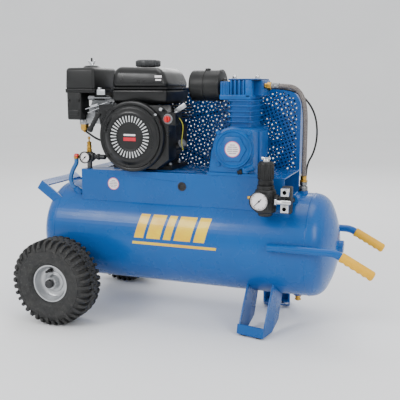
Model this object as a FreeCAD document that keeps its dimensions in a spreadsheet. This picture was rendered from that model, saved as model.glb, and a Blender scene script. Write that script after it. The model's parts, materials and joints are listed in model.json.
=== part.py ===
"""Wheelbarrow air compressor: tank, deck, petrol engine, belt-driven pump, wheels and handles.

Millimetres, +Z up.  +X points to the handles, -Y to the starter side of the engine.
The origin lies on the ground under the middle of the bounding box.
"""
import FreeCAD
import Part
import Sketcher
import math
import os
import re

Vector = FreeCAD.Vector
Rotation = FreeCAD.Rotation
Placement = FreeCAD.Placement

doc = FreeCAD.newDocument("compressor")
dims = doc.addObject("Spreadsheet::Sheet", "dims")

# Driving dimensions.  X values count from the middle of the tank, Z values from the ground.
sizes = {
    # tank
    "tank_radius": 152.4, "tank_wall": 3.2, "tank_barrel": 794.8, "tank_height": 248.2,
    "crown_radius": 274.3, "knuckle_radius": 51.8, "boss_radius": 18.0, "boss_reach": 12.0,
    "bung_radius": 15.0, "bung_rise": 7.0, "pipe_radius": 8.0, "pilot_inset": 27.0, "line_sink": 5.9,
    # deck
    "deck_rise": 55.4, "deck_half": 105.0, "deck_wall": 4.0, "deck_set_left": 79.4, "deck_set_right": 68.4,
    "port_radius": 11.0, "port_x": 20.0,
    # wheels
    "wheel_radius": 130.75, "wheel_width": 101.0, "axle_set": 61.6, "axle_radius": 7.94, "axle_fit": 0.05,
    "axle_tail": 46.9, "rim_radius": 56.8, "bead_radius": 53.3, "bracket_set": 7.6, "bracket_wall": 5.0,
    "bracket_half": 32.0, "cap_radius": 13.0,
    # legs
    "leg_set_x": 144.9, "leg_set_y": 21.6, "leg_turn": 11.3, "leg_width": 84.0, "leg_wall": 5.0,
    "pad_rise": 6.0,
    "foot_depth": 62.0, "foot_hole": 22.0, "lip_rise": 28.0, "pad_radius": 11.0,
    # handles
    "handle_radius": 11.0, "handle_wall": 2.0, "handle_set": 101.4, "handle_out": 86.6, "handle_rise": 19.8,
    "handle_drop": 28.6, "handle_bend": 60.0, "handle_reach": 114.0,
    "grip_radius": 14.0, "grip_length": 101.0, "grip_end": 4.0,
    # lift bar
    "lift_out": 66.6, "lift_slope": 35.0, "lift_width": 32.0, "lift_wall": 6.0, "lift_arm": 118.0,
    "lift_plate": 24.0,
    # engine
    "engine_x": -134.0, "shaft_rise": 106.0, "shaft_radius": 9.525, "shaft_fit": 0.05,
    "case_left": 88.0, "case_waist": 68.0, "case_right": 96.0, "case_front": -50.0, "guard_gap": 15.0,
    "case_rise": 186.0, "base_rise": 12.0, "shroud_radius": 105.0, "shroud_front": -124.0,
    "shroud_rise": 199.0, "shroud_set_left": 114.0, "shroud_set_right": 114.0, "shroud_wall": 4.0,
    "recoil_radius": 80.0, "recoil_depth": 13.0, "recoil_wall": 2.5,
    "slot_inner": 44.0, "slot_outer": 62.0, "slot_width": 4.2, "fan_radius": 84.0, "fan_depth": 44.0,
    "fuel_half": 92.0, "fuel_set": 10.0, "fuel_front": -95.0, "fuel_inset": 3.0, "fuel_gap": 2.0,
    "fuel_lower": 47.0, "fuel_height": 111.0, "fuel_wall": 2.0, "neck_radius": 22.0, "neck_rise": 10.0,
    "cap_outer": 39.0, "cap_rise": 23.0,
    "cleaner_set": 133.0, "cleaner_length": 104.0, "cleaner_front": -100.0, "cleaner_back": 60.0,
    "cleaner_rise": 240.0, "cleaner_height": 70.0, "cleaner_wall": 2.5, "stud_radius": 3.0,
    "stud_set": 184.0, "stud_y": -20.0, "dome_radius": 22.0, "dome_rise": 8.0,
    "carb_set": 192.0, "carb_y": -62.0, "carb_rise": 136.0, "bowl_radius": 13.0, "bowl_depth": 22.0,
    "throttle_set": 88.5, "throttle_y": -90.0, "throttle_length": 70.0,
    "muffler_set": 128.0, "muffler_length": 123.0, "muffler_back": 162.0, "muffler_height": 104.0,
    "switch_rise": 54.0, "switch_radius": 10.0,
    # pump
    "pump_x": 178.0, "axis_rise": 78.0, "crank_radius": 15.0, "pump_left": 64.0, "pump_right": 64.0,
    "pump_front": -95.0, "pump_back": 75.0, "pump_rise": 136.0, "cover_radius": 56.0, "cover_rise": 8.0,
    "barrel_set": 5.5, "fin_half_x": 38.5, "fin_half_y": 72.0, "fin_count": 6.0, "fin_wall": 4.0,
    "barrel_height": 80.0, "head_height": 56.0, "head_half": 46.5, "head_set": 7.5, "port_reach": 23.0,
    "filter_radius": 46.0, "filter_neck": 9.0, "filter_length": 100.0, "filter_drop": 16.0,
    # drive
    "belt_set": 35.0, "belt_width": 10.0, "belt_depth": 9.0, "belt_gap": 0.6, "pulley_radius": 38.0,
    "flywheel_radius": 120.0, "flywheel_rim": 24.0, "flywheel_width": 26.0, "hub_radius": 26.0,
    # guard
    "guard_set_left": 111.0, "guard_beside": 30.0, "guard_below": 14.0, "guard_above": 50.0,
    "guard_depth": 68.0, "guard_wall": 1.5, "guard_corner": 60.0,
    # hose and outlets
    "hose_radius": 7.25, "hose_bend": 80.0, "hose_drop": 17.0, "hose_end": 51.4, "hose_set": 35.4,
    "ferrule_radius": 9.5, "drain_set": 42.4, "pilot_set": 94.4, "pilot_rise": 36.0, "line_set": 65.4,
    "line_radius": 7.0, "unloader_radius": 2.8,
    "outlet_set": 50.4, "outlet_rise": 3.4, "outlet_bore": 5.7, "outlet_half": 11.0, "outlet_reach": 34.0,
    "regulator_set": 111.4, "regulator_inset": 2.4, "regulator_radius": 29.0,
    "knob_radius": 23.0, "knob_rise": 38.0, "knob_height": 66.0, "gauge_radius": 27.0, "gauge_depth": 20.0,
    "small_gauge_radius": 18.5, "small_gauge_depth": 15.0,
}
for row, (name, value) in enumerate(sizes.items(), start=1):
    dims.set("A%d" % row, name)
    dims.set("B%d" % row, str(value))
    dims.setAlias("B%d" % row, name)
doc.recompute()

# Sizes that follow from the driving ones.
derived = {
    "tank_top": "tank_height + tank_radius",
    "tank_left": "-tank_barrel / 2",
    "tank_right": "tank_barrel / 2",
    "crown_drop": "sqrt((crown_radius - knuckle_radius)^2 - (tank_radius - knuckle_radius)^2)",
    "head_depth": "crown_radius - crown_drop",
    "deck_left": "tank_left + deck_set_left",
    "deck_right": "tank_right - deck_set_right",
    "deck_top": "tank_top + deck_rise",
    "port_z": "deck_top - 39",
    "axle_x": "tank_left + axle_set",
    "bracket_y": "tank_radius + bracket_set",
    "wheel_mid_y": "bracket_y + wheel_width / 2 + 30.6",
    "axle_reach": "wheel_mid_y + axle_tail",
    "hub_end": "wheel_mid_y + 38",
    "leg_x": "tank_right - leg_set_x",
    "leg_y": "tank_radius + leg_set_y",
    "handle_start": "tank_right - handle_set",
    "handle_corner": "tank_right + handle_out",
    "handle_height": "tank_height + handle_rise",
    "handle_side": "sqrt((tank_radius + handle_radius)^2 - handle_rise^2)",
    "grip_start": "handle_reach + grip_end - grip_length",
    "lift_x": "tank_left - lift_out",
    "lift_z": "tank_top + 11.4",
    "right_end": "handle_corner + (handle_reach + grip_end) * cos(handle_drop) + grip_radius * sin(handle_drop)",
    "left_end": "lift_x - lift_width * sin(lift_slope)",
    "frame_x": "-(right_end + left_end) / 2",
    "shaft_z": "deck_top + shaft_rise",
    "base_top": "deck_top + base_rise",
    "case_top": "deck_top + case_rise",
    "case_back": "deck_half - guard_gap",
    "fuel_back": "deck_half - fuel_inset",
    "belt_y": "deck_half + belt_set",
    "shaft_end": "belt_y + 20",
    "shroud_top": "deck_top + shroud_rise",
    "shroud_left": "engine_x - shroud_set_left",
    "shroud_right": "engine_x + shroud_set_right",
    "recoil_front": "shroud_front - recoil_depth",
    "fuel_left": "engine_x + fuel_set - fuel_half",
    "fuel_right": "engine_x + fuel_set + fuel_half",
    "fuel_bottom": "shroud_top + fuel_gap",
    "fuel_seam": "fuel_bottom + fuel_lower",
    "fuel_top": "fuel_bottom + fuel_height",
    "cleaner_right": "engine_x - cleaner_set",
    "cleaner_left": "cleaner_right - cleaner_length",
    "cleaner_lip": "deck_top + cleaner_rise",
    "cleaner_top": "cleaner_lip + cleaner_height",
    "stud_x": "engine_x - stud_set",
    "carb_x": "engine_x - carb_set",
    "carb_z": "deck_top + carb_rise",
    "throttle_x": "engine_x - throttle_set",
    "throttle_z": "shroud_top + 21",
    "muffler_right": "engine_x - muffler_set",
    "muffler_left": "muffler_right - muffler_length",
    "muffler_bottom": "case_top - 2",
    "muffler_top": "muffler_bottom + muffler_height",
    "switch_x": "shroud_right",
    "switch_z": "shaft_z + switch_rise",
    "pump_axis": "deck_top + axis_rise",
    "pump_case_top": "deck_top + pump_rise",
    "barrel_x": "pump_x + barrel_set",
    "barrel_top": "pump_case_top + barrel_height",
    "head_top": "barrel_top + head_height",
    "head_left": "pump_x - head_set - head_half",
    "head_right": "pump_x - head_set + head_half",
    "port_right": "head_right + port_reach",
    "filter_right": "head_left - filter_neck",
    "filter_left": "filter_right - filter_length",
    "filter_z": "head_top - filter_drop",
    "drive_x": "engine_x - pump_x",
    "drive_z": "shaft_z - pump_axis",
    "drive_span": "sqrt(drive_x^2 + drive_z^2)",
    "guard_left": "engine_x - guard_set_left",
    "guard_right": "pump_x + flywheel_radius + guard_beside",
    "guard_bottom": "pump_axis - flywheel_radius - guard_below",
    "guard_top": "pump_axis + flywheel_radius + guard_above",
    "guard_front": "deck_half",
    "guard_back": "guard_front + guard_depth",
    "hose_x": "tank_right - hose_set",
    "hose_z": "head_top - hose_drop",
    "hose_start": "port_right + 36",
    "hose_low": "tank_top + hose_end",
    "drain_x": "tank_right - drain_set",
    "pilot_x": "tank_left + pilot_set",
    "pilot_z": "deck_top + pilot_rise",
    "line_x": "tank_left + line_set",
    "pilot_y": "-(deck_half - pilot_inset)",
    "line_y": "pilot_y - 2",
    "line_z": "tank_height + sqrt(tank_radius^2 - line_y^2) - line_sink",
    "outlet_x": "tank_right - outlet_set",
    "manifold_z": "tank_top + outlet_rise",
    "outlet_pipe_z": "manifold_z - 12",
    "regulator_x": "tank_right - regulator_set",
    "regulator_y": "-(tank_radius - regulator_inset)",
    "outlet_front": "regulator_y - outlet_reach",
    "regulator_z": "manifold_z",
    "knob_low": "regulator_z + knob_rise",
    "knob_high": "knob_low + knob_height",
}
word = re.compile(r"[A-Za-z_]\w*")


def formula(text):
    """Spell a size out as a spreadsheet expression."""
    def spell(found):
        name = found.group(0)
        if name in sizes:
            return "dims." + name
        if name in derived:
            return "(" + formula(derived[name]) + ")"
        return name
    return word.sub(spell, text)


def number(text):
    """Value of a size expression now."""
    value = dims.evalExpression(formula(text))
    return float(getattr(value, "Value", value))


def bind(item, **properties):
    for name, text in properties.items():
        item.setExpression(name, formula(text))


turns = {
    "z": Rotation(),
    "-z": Rotation(Vector(1, 0, 0), 180),
    "x": Rotation(Vector(0, 1, 0), 90),
    "-x": Rotation(Vector(0, 1, 0), -90),
    "y": Rotation(Vector(1, 0, 0), -90),
    "-y": Rotation(Vector(1, 0, 0), 90),
}
own_x = {}


def put(item, at=("0", "0", "0"), turn="z"):
    """Turn an item, then move it to a place given by expressions."""
    item.Placement = Placement(Vector(), turns[turn] if isinstance(turn, str) else turn)
    for letter, text in zip("xyz", at):
        item.setExpression("Placement.Base." + letter, formula(text))
    own_x[item.Name] = at[0]
    return item


def rod(radius, length, at, turn="z"):
    item = doc.addObject("Part::Cylinder", "rod")
    bind(item, Radius=radius, Height=length)
    return put(item, at, turn)


def block(low_x, high_x, low_y, high_y, low_z, high_z):
    item = doc.addObject("Part::Box", "block")
    bind(item, Length="(%s)-(%s)" % (high_x, low_x), Width="(%s)-(%s)" % (high_y, low_y),
         Height="(%s)-(%s)" % (high_z, low_z))
    return put(item, (low_x, low_y, low_z))


def fuse(*items):
    item = doc.addObject("Part::MultiFuse", "fuse")
    item.Shapes = list(items)
    return item


def cut(base, *tools):
    item = doc.addObject("Part::Cut", "cut")
    item.Base = base
    item.Tool = tools[0] if len(tools) == 1 else fuse(*tools)
    return item


def group(*items):
    item = doc.addObject("Part::Compound", "group")
    item.Links = list(items)
    return item


def mirror(base):
    """The same piece on the far side of the centre plane."""
    item = doc.addObject("Part::Mirroring", "mirror")
    item.Source = base
    item.Normal = Vector(0, 1, 0)
    return item


def plane(body, name):
    return [item for item in body.Origin.OriginFeatures if item.Role == name][0]


def draw(body, plane_name, corners, lift="0"):
    """Closed outline.  A corner is (x, y), or (x, y, radius, mid_x, mid_y) where an arc follows it."""
    sketch = body.newObject("Sketcher::SketchObject", "outline")
    sketch.AttachmentSupport = (plane(body, plane_name), [""])
    sketch.MapMode = "FlatFace"
    sketch.setExpression("AttachmentOffset.Base.z", formula(lift))
    add_outline(sketch, corners)
    return sketch


def add_outline(sketch, corners):
    first = sketch.GeometryCount
    points = [Vector(number(corner[0]), number(corner[1]), 0) for corner in corners]
    count = len(points)
    ends = []
    for index, corner in enumerate(corners):
        start = points[index]
        stop = points[(index + 1) % count]
        if len(corner) > 2:
            middle = Vector(number(corner[3]), number(corner[4]), 0)
            sketch.addGeometry(Part.Arc(start, middle, stop), False)
        else:
            sketch.addGeometry(Part.LineSegment(start, stop), False)
        near = sketch.getPoint(first + index, 1).distanceToPoint(start) < 1e-6
        ends.append((1, 2) if near else (2, 1))
    for index, corner in enumerate(corners):
        edge = first + index
        following = (index + 1) % count
        sketch.addConstraint(Sketcher.Constraint(
            "Coincident", edge, ends[index][1], first + following, ends[following][0]))
        for letter, text, axis in (("X", corner[0], -2), ("Y", corner[1], -1)):
            if text == "0":
                sketch.addConstraint(Sketcher.Constraint("PointOnObject", edge, ends[index][0], axis))
            else:
                place = sketch.addConstraint(Sketcher.Constraint(
                    "Distance" + letter, -1, 1, edge, ends[index][0], number(text)))
                sketch.setExpression("Constraints[%d]" % place, formula(text))
        if len(corner) > 2:
            place = sketch.addConstraint(Sketcher.Constraint("Radius", edge, number(corner[2])))
            sketch.setExpression("Constraints[%d]" % place, formula(corner[2]))


def prism(plane_name, corners, low, high):
    """Outline on the XY, XZ or YZ plane, padded from low to high along the third axis."""
    body = doc.addObject("PartDesign::Body", "prism")
    lift = "-(%s)" % high if plane_name == "XZ" else low
    sketch = draw(body, plane_name + "_Plane", corners, lift)
    pad = body.newObject("PartDesign::Pad", "pad")
    pad.Profile = sketch
    bind(pad, Length="(%s)-(%s)" % (high, low))
    return put(body)


def turned(corners, at=("0", "0", "0"), turn="z"):
    """Outline of (radius, distance along the axis), spun round the axis."""
    body = doc.addObject("PartDesign::Body", "turned")
    sketch = draw(body, "XZ_Plane", corners)
    spin = body.newObject("PartDesign::Revolution", "spin")
    spin.Profile = sketch
    spin.ReferenceAxis = (sketch, ["V_Axis"])
    spin.Angle = 360
    return put(body, at, turn)


def rounded(body, radius, chosen):
    """Fillet the edges of a body that a test picks."""
    doc.recompute()
    base = body.Tip
    names = ["Edge%d" % (place + 1) for place, edge in enumerate(base.Shape.Edges) if chosen(edge)]
    fillet = body.newObject("PartDesign::Fillet", "fillet")
    fillet.Base = (base, names)
    bind(fillet, Radius=radius)
    return body


def runs_along(letter):
    """Test for straight edges parallel to an axis."""
    def test(edge):
        if edge.Curve.TypeId != "Part::GeomLine":
            return False
        return abs(abs(getattr(edge.Curve.Direction, letter)) - 1) < 1e-6
    return test


def box_outline(low_x, high_x, low_y, high_y):
    return [(low_x, low_y), (high_x, low_y), (high_x, high_y), (low_x, high_y)]


def soft_block(low_x, high_x, low_y, high_y, low_z, high_z, radius, letters):
    """Block with rounded edges along the axes named in letters."""
    body = prism("XY", box_outline(low_x, high_x, low_y, high_y), low_z, high_z)
    tests = [runs_along(letter) for letter in letters]
    return rounded(body, radius, lambda edge: any(test(edge) for test in tests))


def tube(points, radius):
    """Round tube along straight runs joined by tangent arcs as large as the runs allow."""
    corners = [Vector(*[number(text) for text in point]) for point in points]
    edges = []
    place = corners[0]
    radii = []
    for before, corner, after in zip(corners, corners[1:], corners[2:]):
        back = (before - corner).normalize()
        ahead = (after - corner).normalize()
        half = (math.pi - back.getAngle(ahead)) / 2
        reach = 0.45 * min(corner.distanceToPoint(before), corner.distanceToPoint(after))
        bend = reach / math.tan(half)
        radii.append(bend)
        start = corner + back * reach
        stop = corner + ahead * reach
        inward = (back + ahead).normalize()
        middle = corner + inward * (bend / math.cos(half) - bend)
        edges.append(Part.LineSegment(place, start).toShape())
        edges.append(Part.Arc(start, middle, stop).toShape())
        place = stop
    edges.append(Part.LineSegment(place, corners[-1]).toShape())
    path = Part.Wire(edges)
    ring = Part.Wire([Part.makeCircle(radius, corners[0], corners[1] - corners[0])])
    shape = path.makePipeShell([ring], True, False)
    print("tube radii", [round(bend, 1) for bend in radii], "length", round(path.Length, 1),
          "volume ratio", round(shape.Volume / (path.Length * math.pi * radius ** 2), 4))
    item = doc.addObject("Part::Feature", "tube")
    item.Shape = shape
    return put(item)


nodes = []


def node(name, item):
    """Name a finished sub-part and move it from the tank's middle to the object's frame."""
    item.Label = name
    item.setExpression("Placement.Base.x", formula("frame_x + (%s)" % own_x.get(item.Name, "0")))
    nodes.append(item)
    return item


# ---- tank
def head_outline(wall):
    """Dished head: knuckle and crown arcs, hollow when wall is not 0."""
    drop = "crown_drop"
    ratio = "(crown_radius - knuckle_radius)"
    outer = [
        ("tank_radius", "0", "knuckle_radius", "tank_radius - 0.11 * knuckle_radius",
         "0.45 * knuckle_radius"),
        ("crown_radius * (tank_radius - knuckle_radius) / " + ratio,
         "crown_drop * knuckle_radius / " + ratio,
         "crown_radius", "0.23 * crown_radius", "0.97 * crown_radius - crown_drop"),
        ("0", "head_depth"),
    ]
    if not wall:
        return outer + [("0", "0")]
    inner = [
        ("0", "head_depth - tank_wall", "crown_radius - tank_wall",
         "0.23 * (crown_radius - tank_wall)", "0.97 * (crown_radius - tank_wall) - " + drop),
        ("(crown_radius - tank_wall) * (tank_radius - knuckle_radius) / " + ratio,
         "(crown_radius - tank_wall) * crown_drop / " + ratio + " - crown_drop",
         "knuckle_radius - tank_wall", "tank_radius - tank_wall - 0.11 * knuckle_radius",
         "0.45 * (knuckle_radius - tank_wall)"),
        ("tank_radius - tank_wall", "0"),
    ]
    return outer + inner


def tank_tool():
    """Solid envelope of the tank, to shape what is welded to it."""
    return fuse(rod("tank_radius", "tank_barrel", ("tank_left", "0", "tank_height"), "x"),
                turned(head_outline(False), ("tank_left", "0", "tank_height"), "-x"))


shell = turned(box_outline("tank_radius - tank_wall", "tank_radius", "0", "tank_barrel"),
               ("tank_left", "0", "tank_height"), "x")
inner_space = rod("tank_radius - tank_wall", "tank_barrel", ("tank_left", "0", "tank_height"), "x")
line_turn = Rotation(Vector(0, 1, 0), -54)
bungs = [
    rod("bung_radius", "30", ("hose_x", "0", "tank_top + bung_rise - 30"), "z"),
    rod("bung_radius", "30", ("drain_x", "0", "tank_height - tank_radius - bung_rise + 30"), "-z"),
    rod("bung_radius", "60", ("pilot_x", "pilot_y", "tank_top - 68.6"), "z"),
    rod("bung_radius", "60", ("outlet_x", "-18", "outlet_pipe_z"), "-y"),
    rod("line_radius + 4", "26", ("line_x", "line_y", "line_z"), line_turn),
]
bores = [
    rod("pipe_radius", "60", ("hose_x", "0", "tank_top - 40"), "z"),
    rod("pipe_radius", "60", ("drain_x", "0", "tank_height - tank_radius + 40"), "-z"),
    rod("pipe_radius", "120", ("pilot_x", "pilot_y", "tank_top - 100.6"), "z"),
    rod("pipe_radius", "90", ("outlet_x", "-12", "outlet_pipe_z"), "-y"),
]
node("tank_barrel", cut(fuse(shell, cut(fuse(*bungs), inner_space)), *bores))
node("tank_head_left", turned(head_outline(True), ("tank_left", "0", "tank_height"), "-x"))
boss = rod("boss_radius", "boss_reach + 12", ("tank_barrel / 2 + head_depth - 12", "0", "tank_height"), "x")
right_head = turned(head_outline(True), ("tank_barrel / 2", "0", "tank_height"), "x")
head_fill = turned([("0", "0"), ("boss_radius", "0"), ("boss_radius", "head_depth - tank_wall - 1"),
                    ("0", "head_depth - tank_wall - 1")], ("tank_barrel / 2", "0", "tank_height"), "x")
node("tank_head_right", fuse(right_head, cut(boss, head_fill)))

# ---- deck: inverted channel standing on the barrel
skirt_low = "tank_height + sqrt(tank_radius^2 - deck_half^2) - 2"
channel = prism("YZ", [
    ("-deck_half", skirt_low), ("-deck_half + deck_wall", skirt_low),
    ("-deck_half + deck_wall", "deck_top - deck_wall"), ("deck_half - deck_wall", "deck_top - deck_wall"),
    ("deck_half - deck_wall", skirt_low), ("deck_half", skirt_low),
    ("deck_half", "deck_top"), ("-deck_half", "deck_top")], "deck_left", "deck_right")
engine_bolts = [("engine_x %s 81" % x, y) for x in "-+" for y in ("-18", "57.5")]
pump_bolts = [("pump_x %s 72" % x, y) for x in "-+" for y in ("-62", "62")]
bolt_holes = [rod("4.3", "deck_wall + 4", (x, y, "deck_top - deck_wall - 2"))
              for x, y in engine_bolts + pump_bolts]
side_ports = rod("port_radius", "2 * deck_half + 4", ("port_x", "-deck_half - 2", "port_z"), "y")
node("deck", cut(channel, side_ports,
                 rod("pipe_radius + 0.5", "20", ("pilot_x", "pilot_y", "deck_top - 12")),
                 tank_tool(), *bolt_holes))

# ---- axle mounts, wheels
def axle_mount():
    rib = [("-bracket_y + 2", "wheel_radius - 24"), ("-bracket_y + 2", "wheel_radius + 36"),
           ("-bracket_y + 40", "wheel_radius + 70"), ("-40", "wheel_radius - 24")]
    ribs = [prism("YZ", rib, "axle_x + bracket_half - bracket_wall", "axle_x + bracket_half"),
            prism("YZ", rib, "axle_x - bracket_half", "axle_x - bracket_half + bracket_wall")]
    plate = block("axle_x - bracket_half", "axle_x + bracket_half", "-bracket_y",
                  "-bracket_y + bracket_wall",
                  "wheel_radius - 24", "wheel_radius + 36")
    stub = rod("axle_radius", "axle_reach - bracket_y + 54", ("axle_x", "54 - bracket_y", "wheel_radius"),
               "-y")
    collar = rod("cap_radius", "wheel_mid_y - bracket_y - 38.5", ("axle_x", "-bracket_y", "wheel_radius"),
                 "-y")
    return cut(fuse(*ribs, plate, stub, collar), tank_tool())


near_mount = axle_mount()
node("axle_mounts", group(near_mount, mirror(near_mount)))

half = "wheel_width / 2"
tyre_outline = [
    ("bead_radius", "-34"), ("rim_radius", "-34"), ("rim_radius + 0.3", "-38.2"),
    ("rim_radius + 9", "-(%s) + 3" % half),
    ("wheel_radius - 36", "-(%s)" % half), ("wheel_radius - 13", "-(%s) + 4" % half),
    ("wheel_radius - 3", "-(%s) + 15" % half), ("wheel_radius", "-(%s) + 29" % half),
    ("wheel_radius", "%s - 29" % half), ("wheel_radius - 3", "%s - 15" % half),
    ("wheel_radius - 13", "%s - 4" % half), ("wheel_radius - 36", half),
    ("rim_radius + 9", "%s - 3" % half),
    ("rim_radius + 0.3", "38.2"), ("rim_radius", "34"), ("bead_radius", "34"), ("bead_radius", "25"),
    ("rim_radius + 12", "%s - 12" % half), ("wheel_radius - 36", "%s - 7" % half),
    ("wheel_radius - 17", "%s - 13" % half), ("wheel_radius - 10", "%s - 30" % half),
    ("wheel_radius - 10", "-(%s) + 30" % half), ("wheel_radius - 17", "-(%s) + 13" % half),
    ("wheel_radius - 36", "-(%s) + 7" % half), ("rim_radius + 12", "-(%s) + 12" % half),
    ("bead_radius", "-25"),
]
rim_outline = [
    ("axle_radius + axle_fit", "-38"), ("17", "-38"), ("17", "4"), ("30", "10"), ("50.3", "10"),
    ("50.3", "-38"),
    ("rim_radius", "-38"), ("rim_radius", "-34"), ("bead_radius", "-34"), ("bead_radius", "34"),
    ("rim_radius", "34"), ("rim_radius", "38"), ("50.3", "38"), ("50.3", "15"), ("30", "15"), ("20", "24"),
    ("17", "38"), ("axle_radius + axle_fit", "38"),
]
for side, sign, way in (("near", "-", "-y"), ("far", "", "y")):
    centre = ("axle_x", sign + "wheel_mid_y", "wheel_radius")
    valve = put(doc.addObject("Part::Cylinder", "valve"), ("axle_x", sign + "(wheel_mid_y + 15)",
                                                           "wheel_radius + 36"), way)
    bind(valve, Radius="4.5", Height="24")
    node("tyre_" + side, group(turned(tyre_outline, centre, way), valve))
    node("rim_" + side, turned(rim_outline, centre, way))

# ---- legs
def near_leg():
    plate = [("0", "pad_rise"), ("70", "157"), ("150", "135"), ("130", "106"), ("105", "32"),
             ("foot_depth", "pad_rise")]
    lip = [("0", "pad_rise"), ("leg_wall", "pad_rise"), ("leg_wall + 4", "pad_rise + lip_rise"),
           ("4", "pad_rise + lip_rise")]
    foot = cut(block("-leg_width / 2", "leg_width / 2", "0", "foot_depth", "pad_rise",
                     "pad_rise + leg_wall"),
               rod("foot_hole", "20", ("0", "foot_depth / 2 + 4", "0")))
    parts = [prism("YZ", plate, "-leg_width / 2", "-leg_width / 2 + leg_wall"),
             prism("YZ", plate, "leg_width / 2 - leg_wall", "leg_width / 2"),
             prism("YZ", lip, "-leg_width / 2", "leg_width / 2"), foot]
    leg = put(fuse(*parts), ("leg_x", "-leg_y", "0"), Rotation(Vector(0, 0, 1), -number("leg_turn")))
    return cut(leg, tank_tool())


leg = near_leg()
node("legs", group(leg, mirror(leg)))
pads = put(group(*[rod("pad_radius", "pad_rise", (x, "16", "0")) for x in ("-24", "24")]),
           ("leg_x", "-leg_y", "0"), Rotation(Vector(0, 0, 1), -number("leg_turn")))
node("foot_pads", group(pads, mirror(pads)))

# ---- handles
def handle():
    body = doc.addObject("PartDesign::Body", "handle")
    path = body.newObject("Sketcher::SketchObject", "path")
    path.AttachmentSupport = (plane(body, "XZ_Plane"), [""])
    path.MapMode = "FlatFace"
    tangent = "handle_bend * tan(handle_drop / 2)"
    corner = "(handle_corner - handle_start)"
    knots = [("0", "0"), (corner + " - " + tangent, "0"),
             (corner + " + " + tangent + " * cos(handle_drop)", "-(%s) * sin(handle_drop)" % tangent),
             (corner + " + handle_reach * cos(handle_drop)", "-handle_reach * sin(handle_drop)")]
    points = [Vector(number(x), number(z), 0) for x, z in knots]
    bend = number("handle_bend")
    slope = math.radians(number("handle_drop"))
    middle = Vector(points[1].x + bend * math.sin(slope / 2), -bend * (1 - math.cos(slope / 2)), 0)
    path.addGeometry(Part.LineSegment(points[0], points[1]), False)
    path.addGeometry(Part.Arc(points[1], middle, points[2]), False)
    path.addGeometry(Part.LineSegment(points[2], points[3]), False)
    arc_ends = (1, 2) if path.getPoint(1, 1).distanceToPoint(points[1]) < 1e-6 else (2, 1)
    path.addConstraint(Sketcher.Constraint("Coincident", 0, 1, -1, 1))
    path.addConstraint(Sketcher.Constraint("PointOnObject", 0, 2, -1))
    path.addConstraint(Sketcher.Constraint("Coincident", 0, 2, 1, arc_ends[0]))
    path.addConstraint(Sketcher.Constraint("Coincident", 1, arc_ends[1], 2, 1))
    for edge, end, knot in ((0, 2, knots[1]), (2, 1, knots[2]), (2, 2, knots[3])):
        for letter, text in zip("XY", knot):
            if text == "0":
                continue
            place = path.addConstraint(Sketcher.Constraint("Distance" + letter, -1, 1, edge, end,
                                                           number(text)))
            path.setExpression("Constraints[%d]" % place, formula(text))
    place = path.addConstraint(Sketcher.Constraint("Radius", 1, bend))
    path.setExpression("Constraints[%d]" % place, formula("handle_bend"))
    section = body.newObject("Sketcher::SketchObject", "section")
    section.AttachmentSupport = (plane(body, "YZ_Plane"), [""])
    section.MapMode = "FlatFace"
    for text in ("handle_radius", "handle_radius - handle_wall"):
        ring = section.addGeometry(Part.Circle(Vector(), Vector(0, 0, 1), number(text)), False)
        section.addConstraint(Sketcher.Constraint("Coincident", ring, 3, -1, 1))
        place = section.addConstraint(Sketcher.Constraint("Radius", ring, number(text)))
        section.setExpression("Constraints[%d]" % place, formula(text))
    doc.recompute()
    pipe = body.newObject("PartDesign::AdditivePipe", "pipe")
    pipe.Profile = section
    pipe.Spine = (path, ["Edge1", "Edge2", "Edge3"])
    return put(body, ("handle_start", "-handle_side", "handle_height"))


def grip():
    outline = [("handle_radius", "0"), ("grip_radius", "0"), ("grip_radius", "grip_length"),
               ("0", "grip_length"), ("0", "grip_length - grip_end"),
               ("handle_radius", "grip_length - grip_end")]
    tilt = Rotation(Vector(0, 1, 0), 90 + number("handle_drop"))
    return turned(outline, ("handle_corner + grip_start * cos(handle_drop)", "-handle_side",
                            "handle_height - grip_start * sin(handle_drop)"), tilt)


near_handle = handle()
near_grip = grip()
node("handle_tubes", group(near_handle, mirror(near_handle)))
node("grips", group(near_grip, mirror(near_grip)))

# ---- lift bar at the wheel end: two flat arms and a flat crossbar
tilt = Rotation(Vector(0, 1, 0), number("lift_slope"))
arms = [block("0", "lift_arm", low, high, "-lift_width", "0")
        for low, high in (("-deck_half", "-deck_half + lift_wall"), ("deck_half - lift_wall", "deck_half"))]
crossbar = block("0", "lift_plate", "-deck_half", "deck_half", "-lift_wall", "0")
bar = put(fuse(*arms, crossbar), ("lift_x", "0", "lift_z"), tilt)
node("lift_bar", cut(bar, tank_tool()))

# ---- engine
block_outline = [
    ("engine_x - case_left", "base_top + 50"), ("engine_x - case_waist", "base_top + 24"),
    ("engine_x - case_waist", "base_top"), ("engine_x + case_waist", "base_top"),
    ("engine_x + case_waist", "base_top + 24"), ("engine_x + case_right", "base_top + 50"),
    ("engine_x + case_right", "case_top - 60"), ("engine_x + case_right - 40", "case_top"),
    ("engine_x - case_left + 20", "case_top"), ("engine_x - case_left", "case_top - 30")]
filler_turn = Rotation(Vector(0, 1, 0), 62)
filler_at = ("engine_x + 68", "-35", "deck_top + 50")
shaft_hole = rod("shaft_radius + shaft_fit", "400", ("engine_x", "-200", "shaft_z"), "y")
crankcase = fuse(
    prism("XZ", block_outline, "case_front", "case_back"),
    block("engine_x - 98", "engine_x + 98", "case_front", "case_back + 2", "deck_top", "base_top"),
    rod("46", "12", ("engine_x", "case_back", "shaft_z"), "y"),
    rod("11", "60", filler_at, filler_turn))
base_holes = [rod("4.3", "base_rise + 4", (x, y, "deck_top - 2")) for x, y in engine_bolts]
node("engine_crankcase", cut(crankcase, shaft_hole, *base_holes))

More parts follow.
